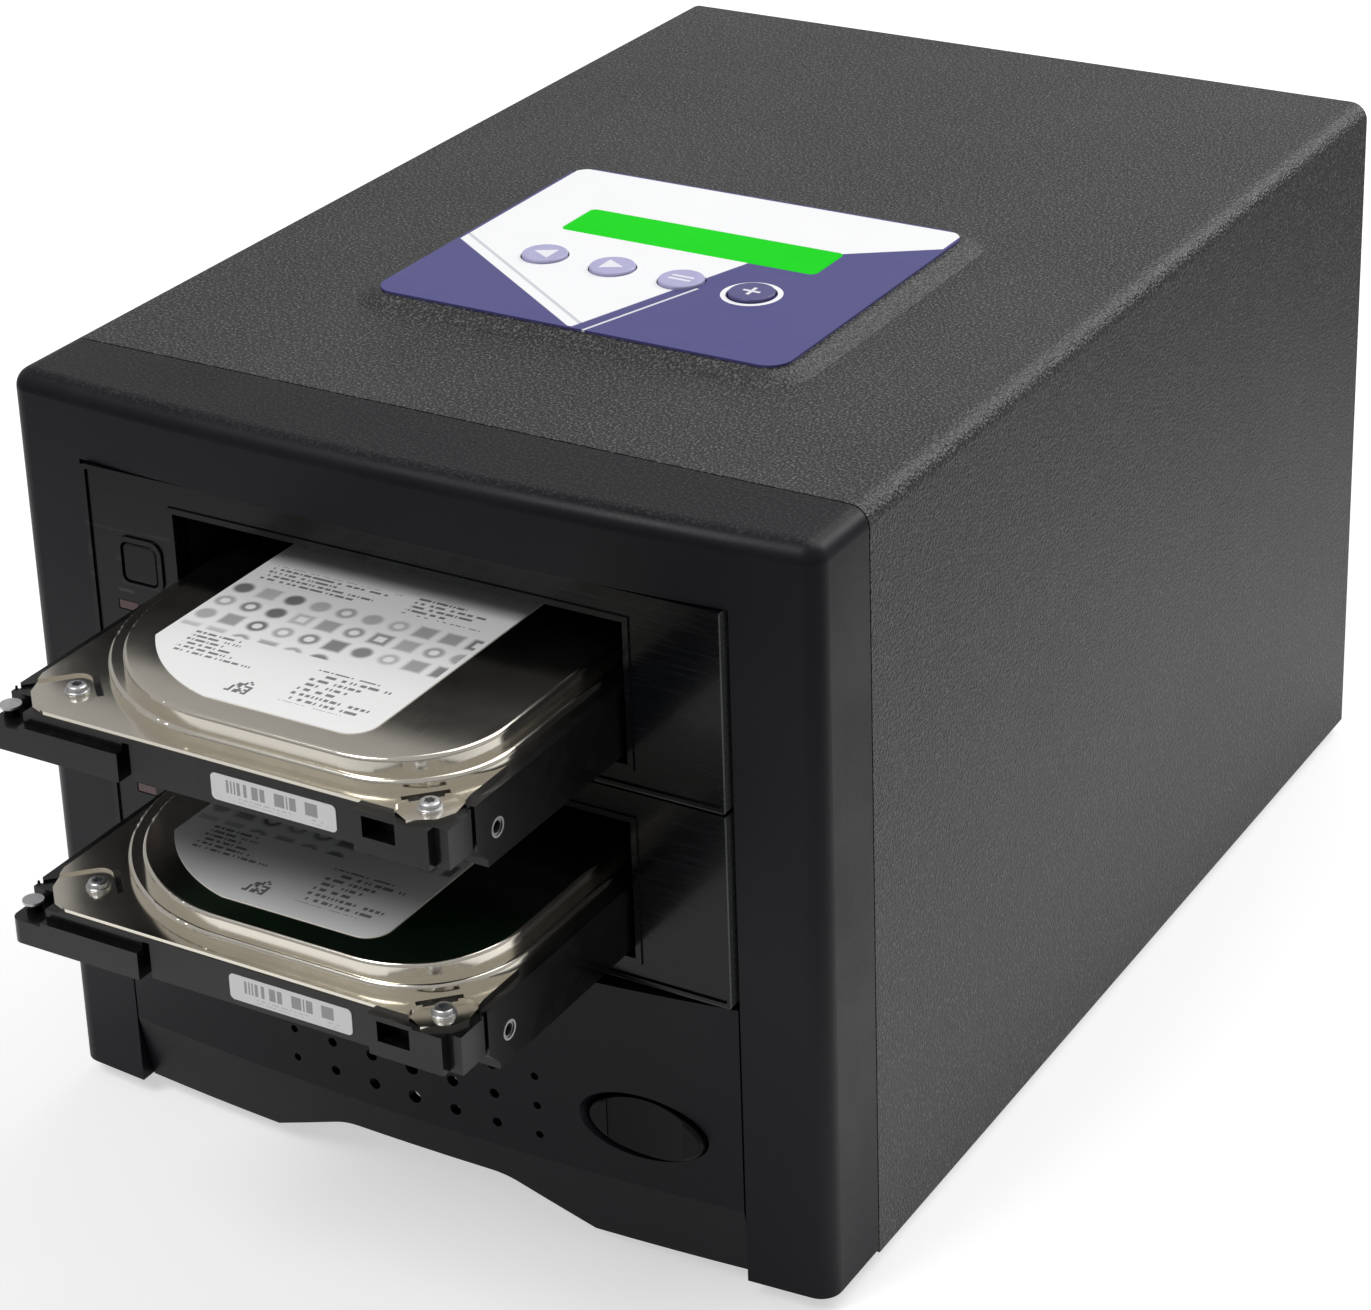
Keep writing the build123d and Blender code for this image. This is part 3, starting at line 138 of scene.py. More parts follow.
class Socket:
    """An output in a shader that the usual signs combine."""

    def __init__(self, shader, output):
        self.shader = shader
        self.output = output

    def __add__(self, other):
        return self.shader.maths("ADD", self, other)

    def __radd__(self, other):
        return self.shader.maths("ADD", other, self)

    def __sub__(self, other):
        return self.shader.maths("SUBTRACT", self, other)

    def __rsub__(self, other):
        return self.shader.maths("SUBTRACT", other, self)

    def __mul__(self, other):
        return self.shader.maths("MULTIPLY", self, other)

    def __rmul__(self, other):
        return self.shader.maths("MULTIPLY", other, self)

    def __truediv__(self, other):
        return self.shader.maths("DIVIDE", self, other)

    def __pow__(self, other):
        return self.shader.maths("POWER", self, other)

    def __gt__(self, other):
        return self.shader.maths("GREATER_THAN", self, other)

    def __lt__(self, other):
        return self.shader.maths("LESS_THAN", self, other)

    def size(self):
        """The value without its sign."""
        return self.shader.maths("ABSOLUTE", self)

    def rest(self, other):
        """What is left after whole steps of a length."""
        return self.shader.maths("FLOORED_MODULO", self, other)

    def whole(self):
        """The whole number below."""
        return self.shader.maths("FLOOR", self)

    def most(self, other):
        """The larger of two values."""
        return self.shader.maths("MAXIMUM", self, other)

    def least(self, other):
        """The smaller of two values."""
        return self.shader.maths("MINIMUM", self, other)

    def inside(self, low, high):
        """1 between two values and 0 elsewhere."""
        return (self > low) * (self < high)

    def step(self, low, high):
        """Smooth rise from 0 at low to 1 at high."""
        return self.shader.ramp(self, low, high, 0, 1)


class Shader:
    """A procedural material with the Principled surface."""

    def __init__(self, name, **surface):
        self.material = bpy.data.materials.new(name)
        self.material.use_nodes = True
        self.tree = self.material.node_tree
        self.surface = self.tree.nodes["Principled BSDF"]
        self.place = self.node("ShaderNodeTexCoord", "Object")
        for key, value in surface.items():
            self.surface.inputs[key.replace("_", " ").title()].default_value = value

    def node(self, kind, output=0, settings=None, **inputs):
        """Add a node, set or link its inputs (i0 is the first one) and give back one output."""
        node = self.tree.nodes.new(kind)
        for key, value in (settings or {}).items():
            setattr(node, key, value)
        for key, value in inputs.items():
            numbered = key[0] == "i" and key[1:].isdigit()
            self.feed(node.inputs[int(key[1:]) if numbered else key], value)
        return Socket(self, node.outputs[output])

    def feed(self, socket, value):
        """Link or set an input."""
        if isinstance(value, Socket):
            self.tree.links.new(value.output, socket)
        else:
            socket.default_value = value

    def maths(self, operation, first, second=None):
        """One step of arithmetic."""
        inputs = {"i0": first}
        if second is not None:
            inputs["i1"] = second
        return self.node("ShaderNodeMath", settings={"operation": operation}, **inputs)

    def ramp(self, value, low, high, start, end):
        """Smooth change from start to end while a value goes from low to high."""
        ends = {"From Min": low, "From Max": high, "To Min": start, "To Max": end}
        settings = {"interpolation_type": "SMOOTHSTEP"}
        return self.node("ShaderNodeMapRange", settings=settings, Value=value, **ends)

    def axes(self):
        """X, Y and Z of the point in metres."""
        split = self.node("ShaderNodeSeparateXYZ", "X", i0=self.place).output.node
        return [Socket(self, split.outputs[i]) for i in range(3)]

    def stretched(self, x, y, z):
        """The place, stretched along each axis."""
        return self.node("ShaderNodeMapping", Vector=self.place, Scale=(x, y, z))

    def random(self, first, second):
        """Random value for a pair of whole numbers."""
        pair = self.node("ShaderNodeCombineXYZ", X=first, Y=second)
        return self.node("ShaderNodeTexWhiteNoise", "Value", Vector=pair)

    def noise(self, size, detail=2.0, roughness=0.5, place=None):
        """Smooth noise with grains of that size in millimetres."""
        inputs = {"Scale": 1 / (size * MM), "Detail": detail, "Roughness": roughness}
        return self.node("ShaderNodeTexNoise", "Fac", Vector=place or self.place, **inputs)

    def cells(self, size, output="Distance"):
        """Cells of that size in millimetres: distance to their middles, or a chance colour."""
        return self.node("ShaderNodeTexVoronoi", output, Vector=self.place, Scale=1 / (size * MM))

    def mix(self, share, first, second):
        """Colour between two colours."""
        return self.node(
            "ShaderNodeMix", 2, settings={"data_type": "RGBA"},
            i0=share, i6=colour(first), i7=colour(second),
        )

    def set(self, name, value):
        """Set or link an input of the surface."""
        self.feed(self.surface.inputs[name], value)

    def bump(self, height, depth, strength):
        """Relief of that depth in millimetres."""
        relief = self.node("ShaderNodeBump", Height=height, Strength=strength, Distance=depth * MM)
        self.set("Normal", relief)


def colour(value):
    """Three numbers become a colour, and a socket stays one."""
    return value if isinstance(value, Socket) else (*value, 1.0)


def tinted(tone, *tint):
    """A grey tone with a tint."""
    return tuple(tone * part for part in tint)


def within(across, along, block):
    """1 inside a block and 0 elsewhere."""
    left, right, near, far = block
    return across.inside(left, right) * along.inside(near, far)


def key_middle(node):
    """Middle of a key, seen from above."""
    low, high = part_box(node)
    return (low[0] + high[0]) / 2, (low[1] + high[1]) / 2


def powder_coat():
    """Black textured powder coat: raised grains that catch the light and slightly rubbed places."""
    s = Shader("black_powder_coat")
    grain = s.noise(0.6, 1, 0.6)
    speck = s.cells(0.7)
    cloud = s.noise(70, 3)
    light = grain.step(0.50, 0.72) * 0.9 + cloud.step(0.35, 0.75) * 0.1
    s.set("Base Color", s.mix(light, (0.004, 0.004, 0.004), (0.130, 0.128, 0.124)))
    s.set("Roughness", s.ramp(grain + cloud * 0.35, 0.35, 0.95, 0.32, 0.54))
    s.bump(grain * 0.8 + speck * 0.5, 0.4, 0.9)
    return s.material


def moulded_black(name, tone, grain_size, shine, gleam=0.35):
    """Satin moulded plastic with a fine spark texture, dust and faint rubbing."""
    s = Shader(name)
    s.set("Specular IOR Level", gleam)
    grain = s.noise(grain_size, 2, 0.55)
    cloud = s.noise(38, 4, 0.6)
    dust = s.noise(1.6, 1).step(0.74, 0.8)
    dark, pale = tinted(tone, 0.8, 0.8, 0.84), tinted(tone, 1.25, 1.25, 1.3)
    base = s.mix(cloud.step(0.3, 0.8), dark, pale)
    s.set("Base Color", s.mix(dust * 0.3, base, (0.04, 0.04, 0.04)))
    s.set("Roughness", s.ramp(cloud + grain * 0.3, 0.4, 0.9, shine, shine + 0.14))
    s.bump(grain, 0.03, 0.35)
    return s.material


def front_plastic():
    """Plastic of the front: smooth, dark and slightly blue, with the cover's grain on its top and a
    much lighter painted tone there, as if lit from above.
    """
    s = Shader("front_satin_black")
    s.set("Specular IOR Level", 0.2)
    _, _, z = s.axes()
    fine = s.noise(0.6, 1, 0.6)
    cloud = s.noise(38, 4, 0.6)
    # Painted light: the top band gets a far lighter colour than the front, as though more lit; the
    # grain on it is texture
    top = z.step(163.2 * MM, 167.4 * MM)
    face = s.mix(cloud.step(0.3, 0.8), (0.0048, 0.0048, 0.0078), (0.0072, 0.0072, 0.0108))
    grain_and_painted_top_light = s.mix(fine.step(0.48, 0.72), (0.008, 0.008, 0.008), (0.085, 0.084, 0.082))
    s.set("Base Color", s.mix(top * 0.9, face, grain_and_painted_top_light))
    s.set("Roughness", s.ramp(cloud + fine * 0.3, 0.4, 0.9, 0.33, 0.48))
    s.bump(fine * (top * 1.4 + 0.5), 0.05, 0.5)
    return s.material


def rack_gloss():
    """Dark gloss face: level brushing, dust, scratches, a painted highlight along its right and
    lower edges, and a dot by each lamp.
    """
    s = Shader("rack_gloss_black", coat_roughness=0.08, coat_weight=0.08)
    s.set("Specular IOR Level", 0.24)
    x, _, z = s.axes()
    lines = s.noise(0.7, 3, 0.7, s.stretched(0.04, 1, 1))
    scratch = s.noise(3.0, 2, 0.6, s.stretched(0.05, 1, 1)).step(0.68, 0.74)
    dust = s.noise(1.1, 1).step(0.76, 0.79)
    base = s.mix(lines.step(0.4, 0.75) * 0.7, (0.0008, 0.0012, 0.002), (0.004, 0.005, 0.008))
    worn = s.mix((dust + scratch) * 0.12, base, (0.10, 0.11, 0.13))
    level = x / MM
    rise = (z - RACK_LOW).rest(BAY_PITCH) / MM
    dot = ((level - DOT_X) ** 2 + (rise - DOT_RISE) ** 2) < DOT_RADIUS_SQUARED
    line = within(level, rise, (LINE_LEFT, LINE_RIGHT, LINE_LOW, LINE_HIGH)) * 0.07
    # Painted highlight: a lighter colour along the right and lower edges, where a small edge radius
    # would catch the light
    right_edge = level > RACK_RIGHT / MM - EDGE_HIGHLIGHT_SIDE
    low_edge = (rise < EDGE_HIGHLIGHT_LOW) * 0.5
    painted_edge_highlight = s.mix(right_edge.most(low_edge), worn, (0.085, 0.09, 0.088))
    s.set("Base Color", s.mix((dot + line).least(1.0), painted_edge_highlight, (0.55, 0.55, 0.56)))
    s.set("Roughness", s.ramp(lines, 0.3, 0.8, 0.2, 0.34))
    s.bump(lines, 0.012, 0.25)
    return s.material


def plated_steel(name, tone, shine):
    """Zinc-plated sheet with a faint spangle and fine rolling lines."""
    s = Shader(name, metallic=1.0)
    spangle = s.cells(9, "Color")
    lines = s.noise(0.5, 2, 0.6, s.stretched(0.05, 1, 1))
    value = s.node("ShaderNodeSeparateXYZ", "X", i0=spangle)
    dark = tinted(tone, 0.86, 0.87, 0.9)
    s.set("Base Color", s.mix(value * 0.5 + lines * 0.4, dark, (tone, tone, tone)))
    s.set("Roughness", s.ramp(value * 0.3 + lines, 0.3, 1.0, shine, shine + 0.16))
    s.bump(lines, 0.01, 0.3)
    return s.material


def lid_metal():
    """Stamped stainless lid: nearly a mirror, with a fine satin grain and faint finger marks."""
    s = Shader("stamped_lid_metal", metallic=1.0)
    grain = s.noise(0.3, 2, 0.6, s.stretched(1, 0.1, 1))
    smear = s.noise(26, 3, 0.55)
    share = grain * 0.5 + smear * 0.25
    s.set("Base Color", s.mix(share, (0.68, 0.635, 0.545), (0.86, 0.82, 0.735)))
    s.set("Roughness", s.ramp(smear + grain * 0.25, 0.4, 0.9, 0.12, 0.2))
    s.bump(grain, 0.004, 0.35)
    return s.material


def casting_black():
    """Dip-coated casting: black, glossy, slightly uneven."""
    s = Shader("coated_casting", coat_roughness=0.12, coat_weight=0.42)
    s.set("Specular IOR Level", 0.2)
    skin = s.noise(2.4, 3, 0.6)
    cloud = s.noise(18, 2)
    share = skin.step(0.45, 0.8)
    s.set("Base Color", s.mix(share, (0.0015, 0.0015, 0.002), (0.007, 0.007, 0.0085)))
    s.set("Roughness", s.ramp(cloud + skin * 0.4, 0.45, 0.95, 0.28, 0.46))
    s.bump(skin, 0.04, 0.3)
    return s.material


def label_stock(name, tone):
    """Label stock with a soft fibre and a faint gloss, before its printing."""
    s = Shader(name)
    fibre = s.noise(0.4, 3, 0.65)
    cloud = s.noise(22, 2)
    s.set("Roughness", s.ramp(fibre, 0.3, 0.7, 0.34, 0.48))
    s.bump(fibre, 0.008, 0.3)
    dark = tinted(tone, 0.93, 0.93, 0.92)
    return s, s.mix(fibre * 0.5 + cloud * 0.3, dark, (tone, tone, tone))


def type_rows(s, across, along, block, pitch, letter):
    """Rows of small marks that read as type, each as long as chance makes it."""
    left, right = block[:2]
    width = right - left
    row = (along / pitch).whole()
    line = (along / pitch - row).inside(0.22, 0.7)
    mark = s.random((across / letter).whole(), row) > 0.36
    reach = s.random(row, 7.0) * (0.55 * width) + (left + 0.45 * width)
    return line * mark * (across < reach) * within(across, along, block)


def sign_rows(s, across, along, block):
    """Rows of plain rounds and squares, some of them hollow, in several greys."""
    column = (across / SIGN_SIZE).whole()
    row = (along / SIGN_SIZE).whole()
    side = (across / SIGN_SIZE - column - 0.5).size()
    rise = (along / SIGN_SIZE - row - 0.5).size()
    rounded = s.random(column, row) > 0.45
    reach = (side * side + rise * rise) ** 0.5
    reach = reach * rounded + side.most(rise) * (1.0 - rounded)
    body = reach.step(0.44, 0.24)
    hollow = reach.step(0.22, 0.12) * (s.random(row, column) > 0.5)
    tone = s.random(column, row + 31.0) * 0.6 + 0.4
    return (body - hollow) * tone * within(across, along, block)


def lid_label():
    """Top label of a drive with generic printing: small type, plain signs and a square code."""
    s, stock = label_stock("white_label", 0.98)
    x, y, _ = s.axes()
    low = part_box("drive_label_upper")[0]
    across = (x - low[0]) / MM
    along = (y - low[1]) / MM
    marks = sum(type_rows(s, across, along, *block) for block in TYPE_BLOCKS)
    signs = sum(sign_rows(s, across, along, block) for block in SIGN_BLOCKS)
    code = s.random((across / CODE_CELL).whole(), (along / CODE_CELL).whole()) > 0.48
    code = code * within(across, along, CODE_BLOCK)
    printed = (marks * 0.8 + signs * 0.85 + code * 0.85).least(1.0)
    s.set("Base Color", s.mix(printed, stock, (0.06, 0.06, 0.065)))
    return s.material


def end_label(name, node):
    """Small label on a drive's front wall with groups of bars over small type."""
    s, stock = label_stock(name, 0.95)
    x, _, z = s.axes()
    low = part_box(node)[0]
    across = (x - low[0]) / MM
    up = (z - low[2]) / MM
    groups = sum(across.inside(left, right) for left, right in BAR_GROUPS)
    bars = (s.random((across / BAR_WIDTH).whole(), 3.0) > 0.34) * groups
    bars = bars * up.inside(BARS_LOW, BARS_HIGH)
    small = type_rows(s, across, up, (6, 19, 0.6, 1.4), 1.0, 0.5)
    corner = type_rows(s, across, up, (22, 26, 0.6, 1.4), 1.0, 0.5)
    printed = (bars * 0.6 + small * 0.4 + corner * 0.4).least(1.0)
    s.set("Base Color", s.mix(printed, stock, (0.05, 0.05, 0.055)))
    return s.material


def overlay_film():
    """Printed film: a pale field, with violet-blue ones on its right and its left corner."""
    s = Shader("printed_film")
    s.set("Specular IOR Level", 0.25)
    x, y, _ = s.axes()
    low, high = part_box("control_overlay")
    across = (x - low[0]) / (high[0] - low[0])
    along = (y - low[1]) / (high[1] - low[1])
    left_edge = along + across * 0.80
    left_corner = left_edge.step(0.402, 0.398)
    left_line = left_edge.inside(0.435, 0.447)
    right_edge = across - along * 0.27
    right_field = right_edge.step(0.498, 0.502) * (along - across * 0.79).step(0.092, 0.088)
    right_line = right_edge.inside(0.53, 0.537) * (along < 0.36)
    ring_x, ring_y = key_middle("key_escape")
    ring = (((x - ring_x) ** 2 + (y - ring_y) ** 2) ** 0.5).inside(5.4 * MM, 6.5 * MM)
    rim = across.least(1.0 - across).least(along.least(1.0 - along)) < 0.007
    weave = s.noise(0.3, 2)
    blue = s.mix(weave, (0.072, 0.068, 0.215), (0.090, 0.084, 0.250))
    white = s.mix(weave, (0.92, 0.925, 0.935), (0.97, 0.975, 0.98))
    blue_parts = (left_corner + right_field + left_line * 0.35 + rim).least(1.0)
    white_parts = (right_line * 0.8 + ring).least(1.0)
    s.set("Base Color", s.mix(white_parts, s.mix(blue_parts, white, blue), white))
    s.set("Roughness", s.ramp(s.noise(9, 3), 0.3, 0.8, 0.28, 0.42))
    s.bump(weave, 0.01, 0.25)
    return s.material


def display_lit():
    """Lit green field behind clear plastic, with the faint cells of a character display."""
    s = Shader("lit_display", emission_strength=1.0, roughness=0.4)
    s.set("Specular IOR Level", 0.03)
    x, y, _ = s.axes()
    cell = x.rest(3.6 * MM).inside(0.0, 3.2 * MM) * y.rest(5.6 * MM).inside(0.0, 5.0 * MM)
    glow = s.noise(30, 2)
    field = s.mix(glow, (0.004, 0.50, 0.006), (0.010, 0.58, 0.012))
    s.set("Base Color", s.mix(glow, (0.004, 0.14, 0.005), (0.006, 0.18, 0.008)))
    s.set("Emission Color", s.mix(cell * 0.08, field, (0.004, 0.36, 0.006)))
    return s.material


def key_plastic(node, sign):
    """Violet-blue key with a soft sheen and its own plain sign."""
    s = Shader(node + "_plastic")
    x, y, _ = s.axes()
    middle_x, middle_y = key_middle(node)
    side = (x - middle_x) / MM
    up = (y - middle_y) / MM
    away, rise = side.size(), up.size()
    cloud = s.noise(4, 3)
    marks = {
        "left": side.inside(-2.6, 2.0) * (rise < (side + 2.6) * 0.55),
        "right": side.inside(-2.0, 2.6) * (rise < (2.6 - side) * 0.55),
        "bars": away.inside(-1.0, 2.6) * rise.inside(0.5, 1.2),
        "cross": (away.most(rise) < 2.0) * (away.least(rise) < 0.4),
    }
    if sign == "cross":
        body = s.mix(cloud, (0.075, 0.07, 0.2), (0.1, 0.095, 0.25))
    else:
        body = s.mix(cloud, (0.38, 0.37, 0.60), (0.50, 0.49, 0.72))
    s.set("Base Color", s.mix(marks[sign] * 0.9, body, (0.90, 0.90, 0.94)))
    s.set("Roughness", s.ramp(cloud, 0.3, 0.7, 0.3, 0.45))
    s.bump(s.noise(0.3, 2), 0.01, 0.3)
    return s.material


def rubber():
    """Matt black rubber with a little dust."""
    s = Shader("foot_rubber")
    grain = s.noise(0.5, 3, 0.6)
    share = grain.step(0.5, 0.85)
    s.set("Base Color", s.mix(share, (0.012, 0.012, 0.012), (0.05, 0.048, 0.045)))
    s.set("Roughness", s.ramp(grain, 0.3, 0.8, 0.7, 0.9))
    s.bump(grain, 0.06, 0.5)
    return s.material


def circuit_board():
    """Dark green solder mask over copper tracks."""
    s = Shader("green_solder_mask", coat_weight=0.2, coat_roughness=0.15)
    x, _, _ = s.axes()
    tracks = (x.rest(1.3 * MM) < 0.5 * MM) * s.noise(8, 1).step(0.5, 0.52)
    s.set("Base Color", s.mix(tracks * 0.7, (0.003, 0.03, 0.014), (0.006, 0.055, 0.025)))
    s.set("Roughness", s.ramp(s.noise(6, 2), 0.3, 0.7, 0.35, 0.5))
    s.bump(tracks, 0.03, 0.3)
    return s.material


def lamp_plastic():
    """Unlit lamp window, milky red."""
    s = Shader("lamp_window", coat_weight=0.3)
    cloud = s.noise(2, 2)
    s.set("Base Color", s.mix(cloud, (0.055, 0.012, 0.012), (0.09, 0.028, 0.026)))
    s.set("Roughness", s.ramp(cloud, 0.3, 0.7, 0.25, 0.4))
    return s.material


finishes = {
    "cover_black": powder_coat(),
    "front_black": front_plastic(),
    "rack_black": rack_gloss(),
    "steel": plated_steel("plated_sheet", 0.62, 0.3),
    "button_grey": moulded_black("rack_button_black", 0.007, 0.4, 0.3, 0.25),
    "button_black": moulded_black("power_button_black", 0.0025, 0.45, 0.3, 0.16),
    "key_mauve": key_plastic("key_back", "left"),
    "overlay": overlay_film(),
    "display_green": display_lit(),
    "module_steel": plated_steel("display_frame_metal", 0.3, 0.35),
    "rubber": rubber(),
    "screw_steel": plated_steel("screw_plating", 0.62, 0.28),
    "casting": casting_black(),
    "lid_metal": lid_metal(),
    "board_green": circuit_board(),
    "connector_black": moulded_black("connector_black", 0.006, 0.4, 0.35, 0.2),
    "label_paper": lid_label(),
    "lamp_clear": lamp_plastic(),
    "sink_metal": plated_steel("heat_sink_metal", 0.66, 0.3),
    "fan_black": moulded_black("fan_black", 0.008, 0.5, 0.4),
}
own_finish = {
    "key_next": key_plastic("key_next", "right"),
    "key_enter": key_plastic("key_enter", "bars"),
    "key_escape": key_plastic("key_escape", "cross"),
    "drive_end_label_lower": end_label("end_label_lower", "drive_end_label_lower"),
    "drive_end_label_upper": end_label("end_label_upper", "drive_end_label_upper"),
}
slots = {entry["node"]: entry["material_slot"] for entry in frame["record"]["subparts"]}
for name, node in frame["nodes"].items():
    node.data.materials.clear()
    node.data.materials.append(own_finish.get(name, finishes[slots[name]]))


def add_piece(name, data, body, slot, replaced=(), finish=None):
    """Put a finished mesh on a body, in the finish of a slot or its own, in place of some nodes."""
    data.name = name
    data.materials.clear()
    data.materials.append(finish or finishes[slot])
    piece = bpy.data.objects.new(name, data)
    bpy.context.collection.objects.link(piece)
    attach(piece, body)
    if replaced:
        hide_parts(*replaced)


def plain_mesh(shape):
    """Turn edited geometry into a mesh with its faces outward."""
    bmesh.ops.recalc_face_normals(shape, faces=shape.faces)
    data = bpy.data.meshes.new("shape")
    shape.to_mesh(data)
    shape.free()
    return data


def add_band(shape, first, second):
    """Join two loops of points with a band of faces."""
    for i in range(len(first)):
        j = (i + 1) % len(first)
        shape.faces.new((first[i], first[j], second[j], second[i]))


def on_circle(radius, angle):
    """Point of a circle about the origin."""
    return radius * math.cos(angle), radius * math.sin(angle)


def screw_pattern(sides):
    """Closed screw turned about Z, drawn in millimetres, with a lobed socket."""
    shape = bmesh.new()
    rings = []
    for number, (radius, height) in enumerate(LID_SCREW_PROFILE):
        ring = []
        for i in range(sides):
            lobed = number in SOCKET_RINGS and i % 4 >= 2
            across = on_circle(radius * (LOBE_DEPTH if lobed else 1.0), 2 * math.pi * i / sides)
            ring.append(shape.verts.new((*across, height)))
        rings.append(ring)
    for below, above in zip(rings, rings[1:]):
        add_band(shape, below, above)
    shape.faces.new(rings[0][::-1])
    shape.faces.new(rings[-1])
    return plain_mesh(shape)


def scatter_tree(material):
    """Geometry Nodes that put a pattern, turned by chance, at each point of another object."""
    tree = bpy.data.node_groups.new("scatter", "GeometryNodeTree")
    sockets = {}
    for label, kind in (
        ("Pattern", "Geometry"),
        ("Places", "Object"),
        ("Size", "Float"),
        ("Largest turn", "Float"),
        ("Seed", "Int"),
    ):
        kind = "NodeSocket" + kind
        made = tree.interface.new_socket(name=label, in_out="INPUT", socket_type=kind)
        sockets[label] = made.identifier
    tree.interface.new_socket(name="Copies", in_out="OUTPUT", socket_type="NodeSocketGeometry")
    enter = tree.nodes.new("NodeGroupInput")
    leave = tree.nodes.new("NodeGroupOutput")
    places = tree.nodes.new("GeometryNodeObjectInfo")
    points = tree.nodes.new("GeometryNodeMeshToPoints")
    chance = tree.nodes.new("FunctionNodeRandomValue")
    turn = tree.nodes.new("ShaderNodeCombineXYZ")
    copies = tree.nodes.new("GeometryNodeInstanceOnPoints")
    whole = tree.nodes.new("GeometryNodeRealizeInstances")
    paint = tree.nodes.new("GeometryNodeSetMaterial")
    paint.inputs["Material"].default_value = material
    for start, end in (
        (enter.outputs["Places"], places.inputs["Object"]),
        (places.outputs["Geometry"], points.inputs["Mesh"]),
        (enter.outputs["Largest turn"], chance.inputs[3]),
        (enter.outputs["Seed"], chance.inputs["Seed"]),
        (chance.outputs[1], turn.inputs["Z"]),
        (points.outputs[0], copies.inputs["Points"]),
        (enter.outputs["Pattern"], copies.inputs["Instance"]),
        (turn.outputs[0], copies.inputs["Rotation"]),
        (enter.outputs["Size"], copies.inputs["Scale"]),
        (copies.outputs[0], whole.inputs[0]),
        (whole.outputs[0], paint.inputs["Geometry"]),
        (paint.outputs[0], leave.inputs[0]),
    ):
        tree.links.new(start, end)
    return tree, sockets


def scattered(pattern, places, slot, largest_turn=0.0, seed=1):
    """One plain mesh of copies of a pattern, drawn in millimetres, at the places."""
    tree, sockets = scatter_tree(finishes[slot])
    spots = bpy.data.meshes.new("places")
    spots.from_pydata(places, [], [])
    holder = bpy.data.objects.new("places", spots)
    source = bpy.data.objects.new("pattern", pattern)
    for item in (holder, source):
        bpy.context.collection.objects.link(item)
    modifier = source.modifiers.new("scatter", "NODES")
    modifier.node_group = tree
    modifier[sockets["Places"]] = holder
    modifier[sockets["Size"]] = MM
    modifier[sockets["Largest turn"]] = largest_turn
    modifier[sockets["Seed"]] = seed
    ready = source.evaluated_get(bpy.context.evaluated_depsgraph_get())
    made = bpy.data.meshes.new_from_object(ready)
    source.modifiers.remove(modifier)
    for item in (source, holder):
        bpy.data.objects.remove(item)
    return made


def add_ring(shape, place, axis, outer, inner, length, sides):
    """Add a plain ring with its middle at a place, its hole along an axis."""
    turn = Vector(axis).to_track_quat("Z", "Y").to_matrix().to_4x4()
    in_place = Matrix.Translation(place) @ turn
    angles = [2 * math.pi * i / sides for i in range(sides)]
    half = length / 2
    loops = []
    for radius, level in ((outer, half), (inner, half), (inner, -half), (outer, -half)):
        points = [in_place @ Vector((*on_circle(radius, angle), level)) for angle in angles]
        loops.append([shape.verts.new(point) for point in points])
    for k in range(len(loops)):
        add_band(shape, loops[k], loops[(k + 1) % len(loops)])


def side_holes(level):
    """Mouths of the side holes of a drive, with the way inward."""
    low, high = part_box("drive_casting_" + level)
    return [
        (side, low[1] + place * MM, low[2] + SIDE_HOLE_RISE * MM, inward)
        for side, inward in ((low[0], 1), (high[0], -1))
        for place in SIDE_HOLE_PLACES
    ]


def add_threads(level):
    """Turns of thread in the side holes of a drive."""
    shape = bmesh.new()
    add_ring(shape, (0, 0, 0), (1, 0, 0), THREAD_OUTER, THREAD_INNER, THREAD_WIDTH, 20)
    depths = [(FIRST_THREAD + THREAD_PITCH * turn) * MM for turn in range(THREAD_TURNS)]
    holes = side_holes(level)
    places = [(x + inward * depth, y, z) for x, y, z, inward in holes for depth in depths]
    made = scattered(plain_mesh(shape), places, "screw_steel")
    add_piece("drive_threads_" + level, made, "hard_drive_" + level, "screw_steel")


def add_machined_faces(level):
    """Bare metal where the casting is cut: round the side holes and on the corner post."""
    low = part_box("drive_casting_" + level)[0]
    shape = bmesh.new()
    sizes = [size * MM for size in (BARE_OUTER, BARE_INNER, BARE_THICKNESS)]
    for x, y, z, inward in side_holes(level):
        add_ring(shape, (x - inward * BARE_SUNK * MM, y, z), (1, 0, 0), *sizes, 28)
    post = [corner + offset * MM for corner, offset in zip(low, POST_PLACE)]
    sizes = [size * MM for size in (POST_CAP_OUTER, POST_CAP_INNER, POST_CAP_HEIGHT)]
    add_ring(shape, post, (0, 0, 1), *sizes, 28)
    made = plain_mesh(shape)
    add_piece("drive_machined_faces_" + level, made, "hard_drive_" + level, "sink_metal")


def add_lid_screws(level):
    """Lid screws with a flange, a domed head and a lobed socket, each turned by chance."""
    low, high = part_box("drive_casting_" + level)
    places = []
    for x, y, z in LID_SCREW_PLACES:
        side, end = low[0] if x > 0 else high[0], low[1] if y > 0 else high[1]
        places.append((side + x * MM, end + y * MM, low[2] + z * MM))
    made = scattered(screw_pattern(24), places, "screw_steel", LARGEST_SCREW_TURN, seed=4)
    name, node = "drive_lid_screw_heads_" + level, "drive_lid_screws_" + level
    add_piece(name, made, "hard_drive_" + level, "screw_steel", [node])


def arc(middle, radius, start, end, steps):
    """Points along an arc between two angles in degrees."""
    points = []
    for i in range(steps + 1):
        x, y = on_circle(radius, math.radians(start + (end - start) * i / steps))
        points.append((middle[0] + x, middle[1] + y))
    return points


def plate(outline, place):
    """Closed plate on an outline; place puts a point and a side of the plate where it belongs."""
    shape = bmesh.new()
    under, over = [
        [shape.verts.new(place(across, along, side)) for across, along in outline]
        for side in (0, 1)
    ]
    shape.faces.new(under[::-1])
    shape.faces.new(over)
    add_band(shape, under, over)
    return plain_mesh(shape)


